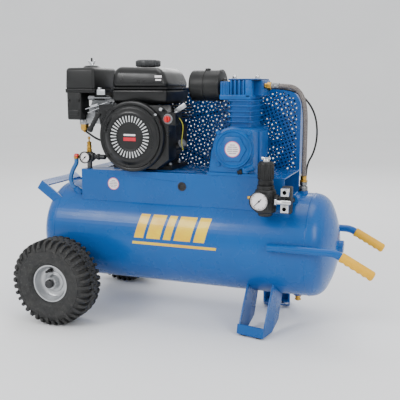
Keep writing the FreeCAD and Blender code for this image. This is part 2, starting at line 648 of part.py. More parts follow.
cylinder_parts = [block("60", "150", "-18", "68", "-36", "36"),
                  block("150", "184", "-28", "80", "-40", "40"),
                  block("184", "212", "-18", "70", "-32", "32")]
for step in range(6):
    cylinder_parts.append(block("%d" % (88 + 10 * step), "%d" % (91 + 10 * step), "-28", "80", "-45", "45"))
slope_turn = Rotation(Vector(0, 1, 0), 180 + 25)
cylinder = put(fuse(*cylinder_parts), ("engine_x", "0", "shaft_z"), slope_turn)
port = rod("14", "27", ("engine_x - 168", "57", "shaft_z + 80"), "y")
node("engine_cylinder", cut(fuse(cylinder, port),
                            block("engine_x - case_left", "engine_x + 100", "-60", "120", "deck_top",
                                  "case_top + 80")))

shoulder = [
    ("shroud_left", "shroud_top"), ("shroud_left", "shroud_top - 40"),
    ("shroud_left + 18", "deck_top + 60"),
    ("shroud_left + 60", "deck_top + 10"), ("shroud_right - 40", "deck_top + 10"),
    ("shroud_right", "deck_top + 40"),
    ("shroud_right", "shroud_top - 20"), ("shroud_right - 20", "shroud_top")]
switch_box = block("switch_x - 20", "switch_x + 24", "shroud_front + 10", "-60", "switch_z - 18",
                   "switch_z + 18")
shroud = fuse(
    prism("XZ", shoulder, "shroud_front + 14", "case_front"),
    rod("shroud_radius", "case_front - shroud_front", ("engine_x", "shroud_front", "shaft_z"), "y"),
    rod("3", "throttle_z + 12 - shroud_top + 6", ("throttle_x", "throttle_y", "shroud_top - 6")),
    switch_box,
    rod("3", "14", ("switch_x", "shroud_front + 11", "switch_z"), "-y"))
fan_space = rod("shroud_radius - 12", "case_front - shroud_wall - shroud_front + 10",
                ("engine_x", "shroud_front - 10", "shaft_z"), "y")
tank_room = block("engine_x - 110", "engine_x + 110", "fuel_front - 5", "case_front + 1",
                  "shroud_top + 1", "fuel_top")
node("fan_housing", cut(shroud, fan_space, tank_room,
                        rod("14", "40", ("engine_x", "case_front - 30", "shaft_z"), "y")))

cover = turned([
    ("0", "recoil_depth - recoil_wall"), ("recoil_radius - 22", "recoil_depth - recoil_wall"),
    ("shroud_radius - 15", "-2"), ("shroud_radius - 12", "-2"), ("shroud_radius - 12", "0"),
    ("shroud_radius - 2", "0"), ("shroud_radius - 2", "recoil_wall"), ("recoil_radius + 6", "recoil_wall"),
    ("recoil_radius - 16", "recoil_depth"), ("0", "recoil_depth")],
    ("engine_x", "shroud_front", "shaft_z"), "-y")
slots = []
slot_count = 36
for index in range(slot_count):
    slot = group(block("slot_inner", "slot_outer", "-12", "12", "-slot_width / 2", "slot_width / 2"))
    spin = Rotation(Vector(0, 1, 0), 360 * index / slot_count)
    slots.append(put(slot, ("engine_x", "recoil_front", "shaft_z"), spin))
node("recoil_cover", cut(cover, *slots))

fan = turned([
    ("shaft_radius", "0"), ("fan_radius", "0"), ("fan_radius", "18"), ("fan_radius - 14", "fan_depth"),
    ("fan_radius - 40", "fan_depth"), ("fan_radius - 44", "22"), ("shaft_radius", "22")],
    ("engine_x", "-62", "shaft_z"), "-y")
node("engine_flywheel", fan)
node("engine_shaft", rod("shaft_radius", "shaft_end + 92", ("engine_x", "-92", "shaft_z"), "y"))

grip_turn = Rotation(Vector(0, 1, 0), 32)
starter = put(fuse(rod("7", "60", ("0", "0", "-30")), rod("9", "8", ("0", "0", "-34")),
                   rod("9", "8", ("0", "0", "26"))),
              ("engine_x - 118", "shroud_front - 10", "shaft_z + 42"), grip_turn)
node("starter_grip", starter)

fuel_shell = soft_block("fuel_left", "fuel_right", "fuel_front", "fuel_back", "fuel_bottom", "fuel_top",
                        "16", "xyz")
fuel_inside = soft_block("fuel_left + fuel_wall", "fuel_right - fuel_wall", "fuel_front + fuel_wall",
                         "fuel_back - fuel_wall", "fuel_bottom + fuel_wall", "fuel_top - fuel_wall", "14",
                         "xyz")
seam = soft_block("fuel_left - 4", "fuel_right + 4", "fuel_front - 4", "fuel_back + 2",
                  "fuel_seam + 0.5", "fuel_seam + 3.5", "14", "z")
neck_at = ("engine_x", "5", "fuel_top - fuel_wall")
neck = rod("neck_radius", "neck_rise + fuel_wall", neck_at)
node("fuel_tank", cut(fuse(fuel_shell, seam, neck), fuel_inside,
                      rod("neck_radius - 2", "40", ("engine_x", "5", "fuel_top - 20"))))
cap_outline = [("0", "neck_rise"), ("neck_radius + 0.3", "neck_rise"), ("neck_radius + 0.3", "0.5"),
               ("cap_outer", "0.5"), ("cap_outer", "cap_rise - 4"), ("cap_outer - 4", "cap_rise"),
               ("0", "cap_rise")]
node("fuel_cap", turned(cap_outline, ("engine_x", "5", "fuel_top")))

tray = block("cleaner_left", "cleaner_right", "cleaner_front", "cleaner_back", "cleaner_lip - 5",
             "cleaner_lip")
snout = block("cleaner_left + 3", "cleaner_left + 54", "cleaner_front + 2", "-42", "cleaner_lip - 89",
              "cleaner_lip - 3")
stud = rod("stud_radius", "cleaner_top - cleaner_lip + 32", ("stud_x", "stud_y", "cleaner_lip - 1"))
stay = block("engine_x - 150", "cleaner_right", "-38", "-30", "cleaner_lip - 34", "cleaner_lip - 3")
node("air_cleaner_case", fuse(tray, snout, stud, stay))
cleaner = soft_block("cleaner_left", "cleaner_right", "cleaner_front", "cleaner_back", "cleaner_lip",
                     "cleaner_top",
                     "7", "z")
hollow = block("cleaner_left + cleaner_wall", "cleaner_right - cleaner_wall",
               "cleaner_front + cleaner_wall",
               "cleaner_back - cleaner_wall", "cleaner_lip - 1", "cleaner_top - cleaner_wall")
dome = rod("dome_radius", "dome_rise", ("stud_x", "stud_y", "cleaner_top"))
node("air_cleaner_cover", cut(fuse(cut(cleaner, hollow), dome),
                              rod("stud_radius + 0.3", "60", ("stud_x", "stud_y", "cleaner_top - 30"))))
wing_z = "cleaner_top + dome_rise"
wings = [block("stud_x - 13", "stud_x + 13", "stud_y - 1.5", "stud_y + 1.5", wing_z + " + 4",
               wing_z + " + 18")]
node("wing_nut", cut(fuse(rod("6.5", "12", ("stud_x", "stud_y", wing_z)), *wings),
                     rod("stud_radius + 0.05", "60", ("stud_x", "stud_y", wing_z + " - 10"))))

carb = fuse(rod("bowl_radius + 2", "14", ("carb_x", "carb_y", "carb_z")),
            block("carb_x + 12", "carb_x + 62", "carb_y - 10", "carb_y + 12", "carb_z + 3", "carb_z + 30"),
            rod("15", "40", ("carb_x + 30", "carb_y - 10", "carb_z + 24"), "y"),
            rod("2.5", "14", ("carb_x + 44", "carb_y - 8", "carb_z + 22"), "-y"))
node("carburettor", carb)
node("float_bowl", rod("bowl_radius", "bowl_depth", ("carb_x", "carb_y", "carb_z - bowl_depth")))
lever_hole = rod("3.05", "20", ("throttle_x", "throttle_y", "throttle_z - 5"))
lever = fuse(rod("7", "4", ("throttle_x", "throttle_y", "throttle_z")),
             block("throttle_x - throttle_length + 10", "throttle_x", "throttle_y - 5", "throttle_y + 5",
                   "throttle_z", "throttle_z + 4"),
             rod("6.5", "22", ("throttle_x - throttle_length + 20", "throttle_y", "throttle_z + 2"), "-x"))
node("throttle_lever", cut(lever, lever_hole))
choke = fuse(rod("5", "3", ("carb_x + 44", "carb_y - 12", "carb_z + 22"), "-y"),
             block("carb_x + 41", "carb_x + 47", "carb_y - 15", "carb_y - 12", "carb_z + 22",
                   "carb_z + 50"),
             rod("5", "5", ("carb_x + 44", "carb_y - 12", "carb_z + 50"), "-y"))
node("choke_lever", cut(choke, rod("2.55", "20", ("carb_x + 44", "carb_y", "carb_z + 22"), "-y")))

node("muffler", soft_block("muffler_left", "muffler_right", "84", "muffler_back", "muffler_bottom",
                           "muffler_top",
                           "14", "xyz"))
knob = fuse(rod("switch_radius", "10", ("switch_x", "shroud_front + 10", "switch_z"), "-y"),
            block("switch_x - 2.5", "switch_x + 2.5", "shroud_front - 6", "shroud_front + 2",
                  "switch_z - 9", "switch_z + 9"))
node("switch_knob", cut(knob, rod("3.05", "13.5", ("switch_x", "shroud_front + 10.5", "switch_z"), "-y")))
cap_turned = turned([("0", "60"), ("13", "60"), ("15", "63"), ("15", "74"), ("12", "78"), ("0", "78")],
                    filler_at, filler_turn)
node("oil_cap", cap_turned)
pulley_side = "belt_width / 2 + belt_gap"
groove_floor = "(pulley_radius - belt_depth - belt_gap)"
pulley = [
    ("shaft_radius", "-14"), ("pulley_radius + 2", "-14"), ("pulley_radius + 2", "-(%s) - 2" % pulley_side),
    (groove_floor, "-(%s)" % pulley_side), (groove_floor, pulley_side),
    ("pulley_radius + 2", "%s + 2" % pulley_side), ("pulley_radius + 2", "14"), ("shaft_radius", "14")]
node("engine_pulley", turned(pulley, ("engine_x", "belt_y", "shaft_z"), "y"))

# ---- pump
pump_base = block("pump_x - 82", "pump_x + 82", "pump_front - 4", "pump_back + 4", "deck_top",
                  "deck_top + 8")
case_body = soft_block("pump_x - pump_left", "pump_x + pump_right", "pump_front", "pump_back",
                       "deck_top + 4", "pump_case_top", "16", "y")
drain = fuse(rod("8", "46", ("pump_x + 24", "pump_front - 8", "deck_top + 12"),
                 Rotation(Vector(0, 1, 0), 66)),
             block("pump_x + 30", "pump_x + 44", "pump_front - 8", "pump_front", "deck_top + 10",
                   "deck_top + 24"))
pump_hole = rod("crank_radius + shaft_fit", "300", ("pump_x", "pump_front + 3", "pump_axis"), "y")
sump = block("pump_x - pump_left + 8", "pump_x + pump_right - 8", "pump_front + 8", "pump_back - 8",
             "deck_top + 12", "pump_case_top + 1")
pump_bolt_holes = [rod("4.3", "14", (x, y, "deck_top - 2")) for x, y in pump_bolts]
bored = cut(fuse(pump_base, case_body), sump, pump_hole, *pump_bolt_holes)
node("pump_crankcase", fuse(bored, drain))
node("pump_cover", turned([("0", "0"), ("cover_radius", "0"), ("cover_radius", "cover_rise - 2"),
                           ("cover_radius - 2", "cover_rise"), ("0", "cover_rise")],
                          ("pump_x", "pump_front", "pump_axis"), "-y"))
fin_parts = [block("barrel_x - fin_half_x + 7", "barrel_x + fin_half_x - 7", "-fin_half_y + 7",
                   "fin_half_y - 7",
                   "pump_case_top", "barrel_top")]
fin_pitch = "(barrel_top - pump_case_top - fin_wall) / (fin_count - 1)"
for step in range(int(sizes["fin_count"])):
    low = "pump_case_top + %d * %s" % (step, fin_pitch)
    fin_parts.append(block("barrel_x - fin_half_x", "barrel_x + fin_half_x", "-fin_half_y", "fin_half_y",
                           low, low + " + fin_wall"))
bores_pump = [rod("31", "barrel_top - pump_case_top + 4",
                  ("barrel_x", y, "pump_case_top - 2")) for y in ("-36", "36")]
node("pump_cylinder", cut(fuse(*fin_parts), *bores_pump))
head = fuse(block("head_left", "head_right", "-fin_half_y", "fin_half_y", "barrel_top", "head_top"),
            block("head_right", "port_right", "-24", "fin_half_y", "barrel_top + 10", "head_top"),
            block("head_left + 26", "port_right - 4", "-fin_half_y + 3", "fin_half_y - 3", "head_top",
                  "head_top + 4"))
nuts_at = [("barrel_x %s 35" % sign, "0") for sign in "-+"]
node("pump_head", cut(head, *[rod("4", "20", (x, y, "head_top - 12")) for x, y in nuts_at]))
filter_body = turned([
    ("0", "0"), ("filter_radius - 5", "0"), ("filter_radius", "6"), ("filter_radius", "48"),
    ("filter_radius - 1", "50"),
    ("filter_radius", "52"), ("filter_radius", "filter_right - filter_left - 8"),
    ("filter_radius + 1.5", "filter_right - filter_left - 8"),
    ("filter_radius + 1.5", "filter_right - filter_left - 3"),
    ("filter_radius - 6", "filter_right - filter_left"), ("20", "filter_right - filter_left"),
    ("20", "head_left - filter_left"), ("0", "head_left - filter_left")],
    ("filter_left", "0", "filter_z"), "x")
nub = rod("8", "8", ("filter_left + 50", "0", "filter_z + filter_radius - 2"))
node("intake_filter", fuse(filter_body, nub))
node("pump_shaft", rod("crank_radius", "belt_y + 14 - pump_front",
                       ("pump_x", "pump_front + 4", "pump_axis"), "y"))

wheel_half = "flywheel_width / 2"
floor_big = "(flywheel_radius - belt_depth - belt_gap - 2)"
rim = turned([
    ("flywheel_radius - flywheel_rim", "-(%s)" % wheel_half), ("flywheel_radius", "-(%s)" % wheel_half),
    ("flywheel_radius", "-(%s) - 2" % pulley_side), (floor_big, "-(%s)" % pulley_side),
    (floor_big, pulley_side),
    ("flywheel_radius", "%s + 2" % pulley_side), ("flywheel_radius", wheel_half),
    ("flywheel_radius - flywheel_rim", wheel_half)], ("pump_x", "belt_y", "pump_axis"), "y")
hub = rod("hub_radius", "flywheel_width + 8", ("pump_x", "belt_y - flywheel_width / 2 - 4", "pump_axis"),
          "y")
spokes = []
spoke_count = 5
for index in range(spoke_count):
    spoke = group(block("hub_radius - 6", "flywheel_radius - flywheel_rim + 4", "-4", "4", "-9", "9"))
    spokes.append(put(spoke, ("pump_x", "belt_y", "pump_axis"),
                      Rotation(Vector(0, 1, 0), 360 * index / spoke_count)))
node("pump_flywheel", cut(fuse(rim, hub, *spokes),
                          rod("crank_radius", "80", ("pump_x", "belt_y - 40", "pump_axis"), "y")))


def belt_loop(small, large, middle_small, middle_large):
    """Outline round two pulleys, the large one at the origin and the small one along +X."""
    lean = "(flywheel_radius - pulley_radius - 2) / drive_span"
    rise = "sqrt(1 - (%s)^2)" % lean
    return [(large + " * " + lean, large + " * " + rise),
            ("drive_span + " + small + " * " + lean, small + " * " + rise, small, middle_small, "0"),
            ("drive_span + " + small + " * " + lean, "-" + small + " * " + rise),
            (large + " * " + lean, "-" + large + " * " + rise, large, middle_large, "0")]


large_out = "(flywheel_radius - 2)"
large_in = "(flywheel_radius - 2 - belt_depth)"
small_out = "pulley_radius"
small_in = "(pulley_radius - belt_depth)"
outside = prism("XY", belt_loop(small_out, large_out, "drive_span + " + small_out, "-" + large_out),
                "-belt_width / 2", "belt_width / 2")
inside = prism("XY", belt_loop(small_in, large_in, "drive_span + " + small_in, "-" + large_in),
               "-belt_width", "belt_width")
heading = math.degrees(math.atan2(-number("drive_z"), number("drive_x")))
belt_turn = Rotation(Vector(0, 1, 0), heading).multiply(Rotation(Vector(1, 0, 0), -90))
node("drive_belt", put(cut(outside, inside), ("pump_x", "belt_y", "pump_axis"), belt_turn))

# ---- guard
outline = box_outline("guard_left", "guard_right", "guard_bottom", "guard_top")
inner_outline = box_outline("guard_left + guard_wall", "guard_right - guard_wall",
                            "guard_bottom + guard_wall", "guard_top - guard_wall")
front_plate = rounded(prism("XZ", outline, "guard_front", "guard_front + guard_wall"), "guard_corner",
                      runs_along("y"))
node("guard_front", cut(front_plate, rod("hub_radius + 20", "20",
                                         ("pump_x", "guard_front - 5", "pump_axis"), "y"),
                        rod("shaft_radius + 16", "20", ("engine_x", "guard_front - 5", "shaft_z"), "y")))
node("guard_back", rounded(prism("XZ", outline, "guard_back - guard_wall", "guard_back"), "guard_corner",
                           runs_along("y")))
band_out = rounded(prism("XZ", outline, "guard_front + guard_wall", "guard_back - guard_wall"),
                   "guard_corner",
                   runs_along("y"))
band_in = rounded(prism("XZ", inner_outline, "guard_front", "guard_back"), "guard_corner - guard_wall",
                  runs_along("y"))
node("guard_band", cut(band_out, band_in))

# ---- discharge hose and its fittings
def hose():
    body = doc.addObject("PartDesign::Body", "hose")
    reach = "hose_x - hose_start"
    drop = "hose_z - hose_low"
    path = body.newObject("Sketcher::SketchObject", "path")
    path.AttachmentSupport = (plane(body, "XZ_Plane"), [""])
    path.MapMode = "FlatFace"
    knots = [("0", "0"), (reach + " - hose_bend", "0"), (reach, "-hose_bend"), (reach, "-(%s)" % drop)]
    points = [Vector(number(x), number(z), 0) for x, z in knots]
    bend = number("hose_bend")
    middle = Vector(points[1].x + bend * math.sin(math.pi / 4), -bend * (1 - math.cos(math.pi / 4)), 0)
    path.addGeometry(Part.LineSegment(points[0], points[1]), False)
    path.addGeometry(Part.Arc(points[1], middle, points[2]), False)
    path.addGeometry(Part.LineSegment(points[2], points[3]), False)
    ends = (1, 2) if path.getPoint(1, 1).distanceToPoint(points[1]) < 1e-6 else (2, 1)
    path.addConstraint(Sketcher.Constraint("Coincident", 0, 1, -1, 1))
    path.addConstraint(Sketcher.Constraint("PointOnObject", 0, 2, -1))
    path.addConstraint(Sketcher.Constraint("Tangent", 0, 2, 1, ends[0]))
    path.addConstraint(Sketcher.Constraint("Tangent", 1, ends[1], 2, 1))
    path.addConstraint(Sketcher.Constraint("Vertical", 2))
    for letter, text in (("X", knots[3][0]), ("Y", knots[3][1])):
        place = path.addConstraint(Sketcher.Constraint("Distance" + letter, -1, 1, 2, 2, number(text)))
        path.setExpression("Constraints[%d]" % place, formula(text))
    place = path.addConstraint(Sketcher.Constraint("Radius", 1, bend))
    path.setExpression("Constraints[%d]" % place, formula("hose_bend"))
    section = body.newObject("Sketcher::SketchObject", "section")
    section.AttachmentSupport = (plane(body, "YZ_Plane"), [""])
    section.MapMode = "FlatFace"
    for text in ("hose_radius", "hose_radius - 3"):
        ring = section.addGeometry(Part.Circle(Vector(), Vector(0, 0, 1), number(text)), False)
        section.addConstraint(Sketcher.Constraint("Coincident", ring, 3, -1, 1))
        place = section.addConstraint(Sketcher.Constraint("Radius", ring, number(text)))
        section.setExpression("Constraints[%d]" % place, formula(text))
    doc.recompute()
    pipe = body.newObject("PartDesign::AdditivePipe", "pipe")
    pipe.Profile = section
    pipe.Spine = (path, ["Edge1", "Edge2", "Edge3"])
    return put(body, ("hose_start", "0", "hose_z"))


node("discharge_hose", hose())
upper = cut(fuse(rod("8", "10", ("port_right", "0", "hose_z"), "x"),
                 rod("12", "12", ("port_right + 8", "0", "hose_z"), "x"),
                 rod("ferrule_radius", "24", ("port_right + 20", "0", "hose_z"), "x")),
            rod("hose_radius + 0.3", "20", ("hose_start", "0", "hose_z"), "x"))
lower = cut(fuse(rod("pipe_radius", "30", ("hose_x", "0", "tank_top - 4")),
                 rod("13", "14", ("hose_x", "0", "tank_top + bung_rise")),
                 rod("11", "hose_low - tank_top - bung_rise - 14",
                     ("hose_x", "0", "tank_top + bung_rise + 14")),
                 block("hose_x - 4", "hose_x + 9", "0", "21", "hose_low - 26", "hose_low - 14"),
                 rod("4.5", "6", ("hose_x + 4", "16", "hose_low - 16"))),
            rod("4", "200", ("hose_x", "0", "tank_top - 20")))
nipple = rod("6", "10", ("port_right", "45", "head_top - 28"), "x")
node("hose_fittings", group(upper, lower, nipple))
node("unloader_tube", tube([
    ("port_right + 10", "45", "head_top - 28"), ("port_right + 50", "45", "head_top - 28"),
    ("hose_x - 17", "38", "head_top - 46"), ("hose_x + 22", "30", "head_top - 94"),
    ("hose_x + 34", "22", "head_top - 156"), ("hose_x + 26", "17", "hose_low + 68"),
    ("hose_x + 4", "16", "hose_low + 30"), ("hose_x + 4", "16", "hose_low - 10")],
    number("unloader_radius")))

# ---- fittings at the wheel end
pilot = fuse(rod("pipe_radius", "pilot_z - tank_top + 24.6", ("pilot_x", "pilot_y", "tank_top - 24.6")),
             block("pilot_x - 11", "pilot_x + 11", "pilot_y - 11", "pilot_y + 11", "pilot_z - 11",
                   "pilot_z + 11"),
             rod("8", "46", ("pilot_x + 11", "pilot_y", "pilot_z"), "x"),
             rod("10", "8", ("pilot_x + 30", "pilot_y", "pilot_z"), "x"),
             rod("6.5", "28", ("pilot_x - 11", "pilot_y", "pilot_z"), "-x"),
             rod("8", "14", ("pilot_x - 39", "pilot_y", "pilot_z"), "-x"),
             rod("5", "8", ("pilot_x", "pilot_y - 11", "pilot_z"), "-y"),
             rod("10", "12", ("pilot_x", "pilot_y", "pilot_z + 11")),
             rod("7.5", "24", ("pilot_x", "pilot_y", "pilot_z + 23")))
node("pilot_fittings", cut(pilot, rod("2.55", "30", ("pilot_x", "pilot_y", "pilot_z + 37"))))
node("relief_stem", fuse(rod("2.5", "24", ("pilot_x", "pilot_y", "pilot_z + 38")),
                         rod("5", "3", ("pilot_x", "pilot_y", "pilot_z + 57"))))
node("pilot_tube", tube([
    ("pilot_x - 47.5", "pilot_y", "pilot_z - 8"), ("pilot_x - 47.5", "pilot_y", "pilot_z - 23"),
    ("pilot_x - 62", "pilot_y", "tank_top + 46.4"), ("pilot_x - 71", "pilot_y - 1", "tank_top + 20.4"),
    ("line_x - 46 * sin(54)", "line_y", "line_z + 46 * cos(54)"),
    ("line_x - 26.2 * sin(54)", "line_y", "line_z + 26.2 * cos(54)")], number("line_radius")))

# ---- regulator, gauges and outlets
reg = ("regulator_x", "regulator_y")
regulator = fuse(
    rod("regulator_radius", "64", (*reg, "regulator_z - 38")), rod("20", "12", (*reg, "regulator_z - 49")),
    rod("24", "12", (*reg, "regulator_z + 26")), rod("6", "knob_high - regulator_z - 20",
                                                     (*reg, "regulator_z + 10")),
    rod("13", "40", ("regulator_x - 8", "regulator_y", "manifold_z"), "x"),
    rod("6", "24", ("regulator_x - 26", "regulator_y", "manifold_z"), "-x"),
    rod("5", "14", ("regulator_x - 5", "regulator_y - 22", "regulator_z"), "-y"))
node("regulator_body", regulator)
knob_outline = [
    ("6.05", "0"), ("knob_radius", "0"), ("knob_radius", "knob_high - knob_low"),
    ("10", "knob_high - knob_low"),
    ("10", "knob_high - knob_low + 12"), ("0", "knob_high - knob_low + 12"),
    ("0", "knob_high - knob_low - 8"),
    ("6.05", "knob_high - knob_low - 8")]
node("regulator_knob", turned(knob_outline, (*reg, "knob_low")))


def gauge(radius, depth, at):
    """Open-fronted case with a pin in the middle of its dial."""
    return turned([("0", "0"), (radius, "0"), (radius, depth), (radius + " - 2", depth),
                   (radius + " - 2", depth + " - 5"),
                   ("1", depth + " - 5"), ("1", depth + " - 2"), ("0", depth + " - 2")], at, "-y")


big_at = ("regulator_x - 5", "regulator_y - 36", "regulator_z")
small_at = ("pilot_x", "pilot_y - 19", "pilot_z")
node("gauge_cases", group(gauge("gauge_radius", "gauge_depth", big_at),
                          gauge("small_gauge_radius", "small_gauge_depth", small_at)))


def needle(radius, depth, at):
    """Pointer over the dial, resting at the low end of the scale."""
    pointer = fuse(rod("3", "1", ("0", "0", "0")), block("-1", "1", "-8", radius + " - 7", "0", "1"))
    pointer = cut(pointer, rod("1.05", "4", ("0", "0", "-1")))
    spin = Rotation(Vector(1, 0, 0), 90).multiply(Rotation(Vector(0, 0, 1), 135))
    return put(pointer, (at[0], at[1] + " - (%s) + 3.8" % depth, at[2]), spin)


node("regulator_needle", needle("gauge_radius", "gauge_depth", big_at))
node("tank_needle", needle("small_gauge_radius", "small_gauge_depth", small_at))

manifold = fuse(
    block("outlet_x - 14", "outlet_x + 14", "regulator_y - 10", "regulator_y + 14", "manifold_z - 38",
          "manifold_z + 38"),
    rod("pipe_radius", "-60 - regulator_y", ("outlet_x", "regulator_y + 10", "outlet_pipe_z"), "y"),
    block("regulator_x + 32", "outlet_x - 14", "regulator_y - 9", "regulator_y + 9", "manifold_z - 9",
          "manifold_z + 9"),
    rod("5", "regulator_y - outlet_front + 7.5", ("outlet_x", "regulator_y - 8", "manifold_z"), "-y"))
for level in ("manifold_z + 25", "manifold_z - 20"):
    manifold = fuse(manifold, block("outlet_x - outlet_half", "outlet_x + outlet_half", "outlet_front",
                                    "regulator_y - 10", level + " - outlet_half", level + " + outlet_half"))
outlet_holes = [rod("outlet_bore", "20", ("outlet_x", "outlet_front", level), "y")
                for level in ("manifold_z + 25", "manifold_z - 20")]
node("outlet_manifold", cut(manifold, *outlet_holes))
bar_y = "outlet_front - 10.5"
node("valve_handle", cut(
    fuse(rod("9", "6", ("outlet_x - 24", bar_y, "manifold_z"), "x"),
         rod("6", "40", ("outlet_x - 20", bar_y, "manifold_z"), "x")),
    rod("5.05", "40", ("outlet_x", "outlet_front", "manifold_z"), "-y")))
drain_z = "tank_height - tank_radius - bung_rise"
node("drain_cock", fuse(rod("pipe_radius - 0.05", "14", ("drain_x", "0", drain_z)),
                        rod("10", "8", ("drain_x", "0", drain_z), "-z"),
                        rod("7", "10", ("drain_x", "0", drain_z + " - 8"), "-z")))

# ---- fasteners: mounting bolts, head nuts and axle caps
fasteners = []
for x, y in engine_bolts:
    fasteners.append(fuse(rod("4", "base_rise + deck_wall + 10", (x, y, "deck_top - deck_wall - 6")),
                          rod("8", "6", (x, y, "base_top")),
                          rod("8", "6", (x, y, "deck_top - deck_wall - 6"))))
for x, y in pump_bolts:
    fasteners.append(fuse(rod("4", "deck_wall + 18", (x, y, "deck_top - deck_wall - 6")),
                          rod("7", "6", (x, y, "deck_top + 8")),
                          rod("7", "6", (x, y, "deck_top - deck_wall - 6"))))
for x, y in nuts_at:
    fasteners.append(fuse(rod("4", "22", (x, y, "head_top - 12")), rod("8", "7", (x, y, "head_top + 4")),
                          rod("5", "8", (x, y, "head_top + 10"))))
cap = turned([("axle_radius", "0"), ("cap_radius", "0"), ("cap_radius", "7"), ("cap_radius - 3", "10"),
              ("0", "10"), ("0", "axle_reach - hub_end - 0.5"),
              ("axle_radius", "axle_reach - hub_end - 0.5")],
             ("axle_x", "-hub_end - 0.5", "wheel_radius"), "-y")
node("fasteners", group(*fasteners, cap, mirror(cap)))

# ---- check and write
doc.recompute()
faults = [item.Name for item in doc.Objects if "Invalid" in item.State or "Error" in item.State]
for item in nodes:
    if item.Shape.isNull() or not item.Shape.isValid():
        faults.append(item.Label)
if faults:
    raise RuntimeError("failed: " + ", ".join(faults))
os.makedirs("parts", exist_ok=True)
for item in nodes:
    item.Shape.exportStep("parts/%s.step" % item.Label)
print(len(nodes), "sub-parts")
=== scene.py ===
import bpy
import bmesh
import json
import math
from mathutils import Matrix, Vector


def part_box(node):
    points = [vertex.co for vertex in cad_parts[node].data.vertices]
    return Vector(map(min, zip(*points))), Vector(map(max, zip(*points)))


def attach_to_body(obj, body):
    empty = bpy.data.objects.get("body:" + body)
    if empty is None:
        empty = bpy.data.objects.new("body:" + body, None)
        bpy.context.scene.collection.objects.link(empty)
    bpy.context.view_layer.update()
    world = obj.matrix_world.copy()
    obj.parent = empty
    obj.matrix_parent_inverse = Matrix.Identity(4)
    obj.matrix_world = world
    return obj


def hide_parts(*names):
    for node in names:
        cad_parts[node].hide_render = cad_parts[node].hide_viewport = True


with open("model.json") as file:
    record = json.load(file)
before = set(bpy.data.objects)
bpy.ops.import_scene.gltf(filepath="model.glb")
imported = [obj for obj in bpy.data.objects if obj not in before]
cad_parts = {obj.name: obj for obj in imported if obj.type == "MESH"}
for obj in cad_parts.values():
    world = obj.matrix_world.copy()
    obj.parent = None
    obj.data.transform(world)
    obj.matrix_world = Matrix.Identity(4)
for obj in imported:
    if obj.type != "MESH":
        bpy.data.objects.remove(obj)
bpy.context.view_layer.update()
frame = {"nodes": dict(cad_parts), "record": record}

# lengths below are millimetres from the middle of the tank, x to the handles, y to the belt side, z up
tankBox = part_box("tank_barrel")
midX = (tankBox[0].x + tankBox[1].x) / 2
toFrame = Matrix.Translation((midX, 0, 0)) @ Matrix.Scale(0.001, 4)
directions = {"x": Vector((1, 0, 0)), "-x": Vector((-1, 0, 0)), "y": Vector((0, 1, 0)),
              "-y": Vector((0, -1, 0)), "z": Vector((0, 0, 1)), "-z": Vector((0, 0, -1))}


def hexColour(text):
    # sRGB hex to linear
    parts = [int(text[place:place + 2], 16) / 255 for place in (1, 3, 5)]
    return [part / 12.92 if part <= 0.04045 else ((part + 0.055) / 1.055) ** 2.4 for part in parts] + [1.0]


def addNode(tree, kind, settings=None, links=None):
    node = tree.nodes.new("ShaderNode" + kind)
    for name, value in (settings or {}).items():
        if name in node.inputs:
            node.inputs[name].default_value = value
        else:
            setattr(node, name, value)
    for name, source in (links or {}).items():
        tree.links.new(source, node.inputs[name])
    return node


def makeSurface(name, plan):
    # noise sizes are in millimetres; each noise reads object coordinates in metres
    material = bpy.data.materials.new(name)
    material.use_nodes = True
    tree = material.node_tree
    shader = tree.nodes["Principled BSDF"]
    for socket, value in plan.get("sockets", {}).items():
        shader.inputs[socket].default_value = value
    place = addNode(tree, "TexCoord").outputs["UV" if plan.get("uv") else "Object"]
    patches = addNode(tree, "TexNoise", {"Scale": 1000 / plan["patchSize"], "Detail": 5.0,
                                         "Roughness": 0.6},
                      {"Vector": place}).outputs["Fac"]
    share = addNode(tree, "MapRange", {"From Min": 0.35, "From Max": 0.68}, {"Value": patches})
    colours = addNode(tree, "MixRGB", {"Color1": hexColour(plan["colour"]),
                                       "Color2": hexColour(plan["second"])},
                      {"Fac": share.outputs["Result"]})
    paint = colours.outputs["Color"]
    if "speck" in plan:
        dots = addNode(tree, "TexNoise", {"Scale": 1000 / plan["speckSize"], "Detail": 2.0},
                       {"Vector": place})
        few = addNode(tree, "MapRange", {"From Min": plan["speckFrom"],
                                         "From Max": plan["speckFrom"] + 0.08,
                                         "To Max": plan.get("speckMost", 0.8)},
                      {"Value": dots.outputs["Fac"]})
        paint = addNode(tree, "MixRGB", {"Color2": hexColour(plan["speck"])},
                        {"Fac": few.outputs["Result"], "Color1": paint}).outputs["Color"]
    tree.links.new(paint, shader.inputs["Base Color"])
    smudge = addNode(tree, "TexNoise", {"Scale": 1000 / plan["smudgeSize"], "Detail": 4.0},
                     {"Vector": place})
    low, high = plan["rough"]
    rough = addNode(tree, "MapRange", {"From Min": 0.3, "From Max": 0.7, "To Min": low, "To Max": high},
                    {"Value": smudge.outputs["Fac"]})
    tree.links.new(rough.outputs["Result"], shader.inputs["Roughness"])
    normal = None
    for size, height in plan.get("grain", ()):
        grain = addNode(tree, "TexNoise", {"Scale": 1000 / size, "Detail": 3.0, "Roughness": 0.55},
                        {"Vector": place})
        links = {"Height": grain.outputs["Fac"]}
        if normal:
            links["Normal"] = normal
        bump = addNode(tree, "Bump", {"Strength": 1.0, "Distance": height / 1000}, links)
        normal = bump.outputs["Normal"]
    if normal:
        tree.links.new(normal, shader.inputs["Normal"])
    return material


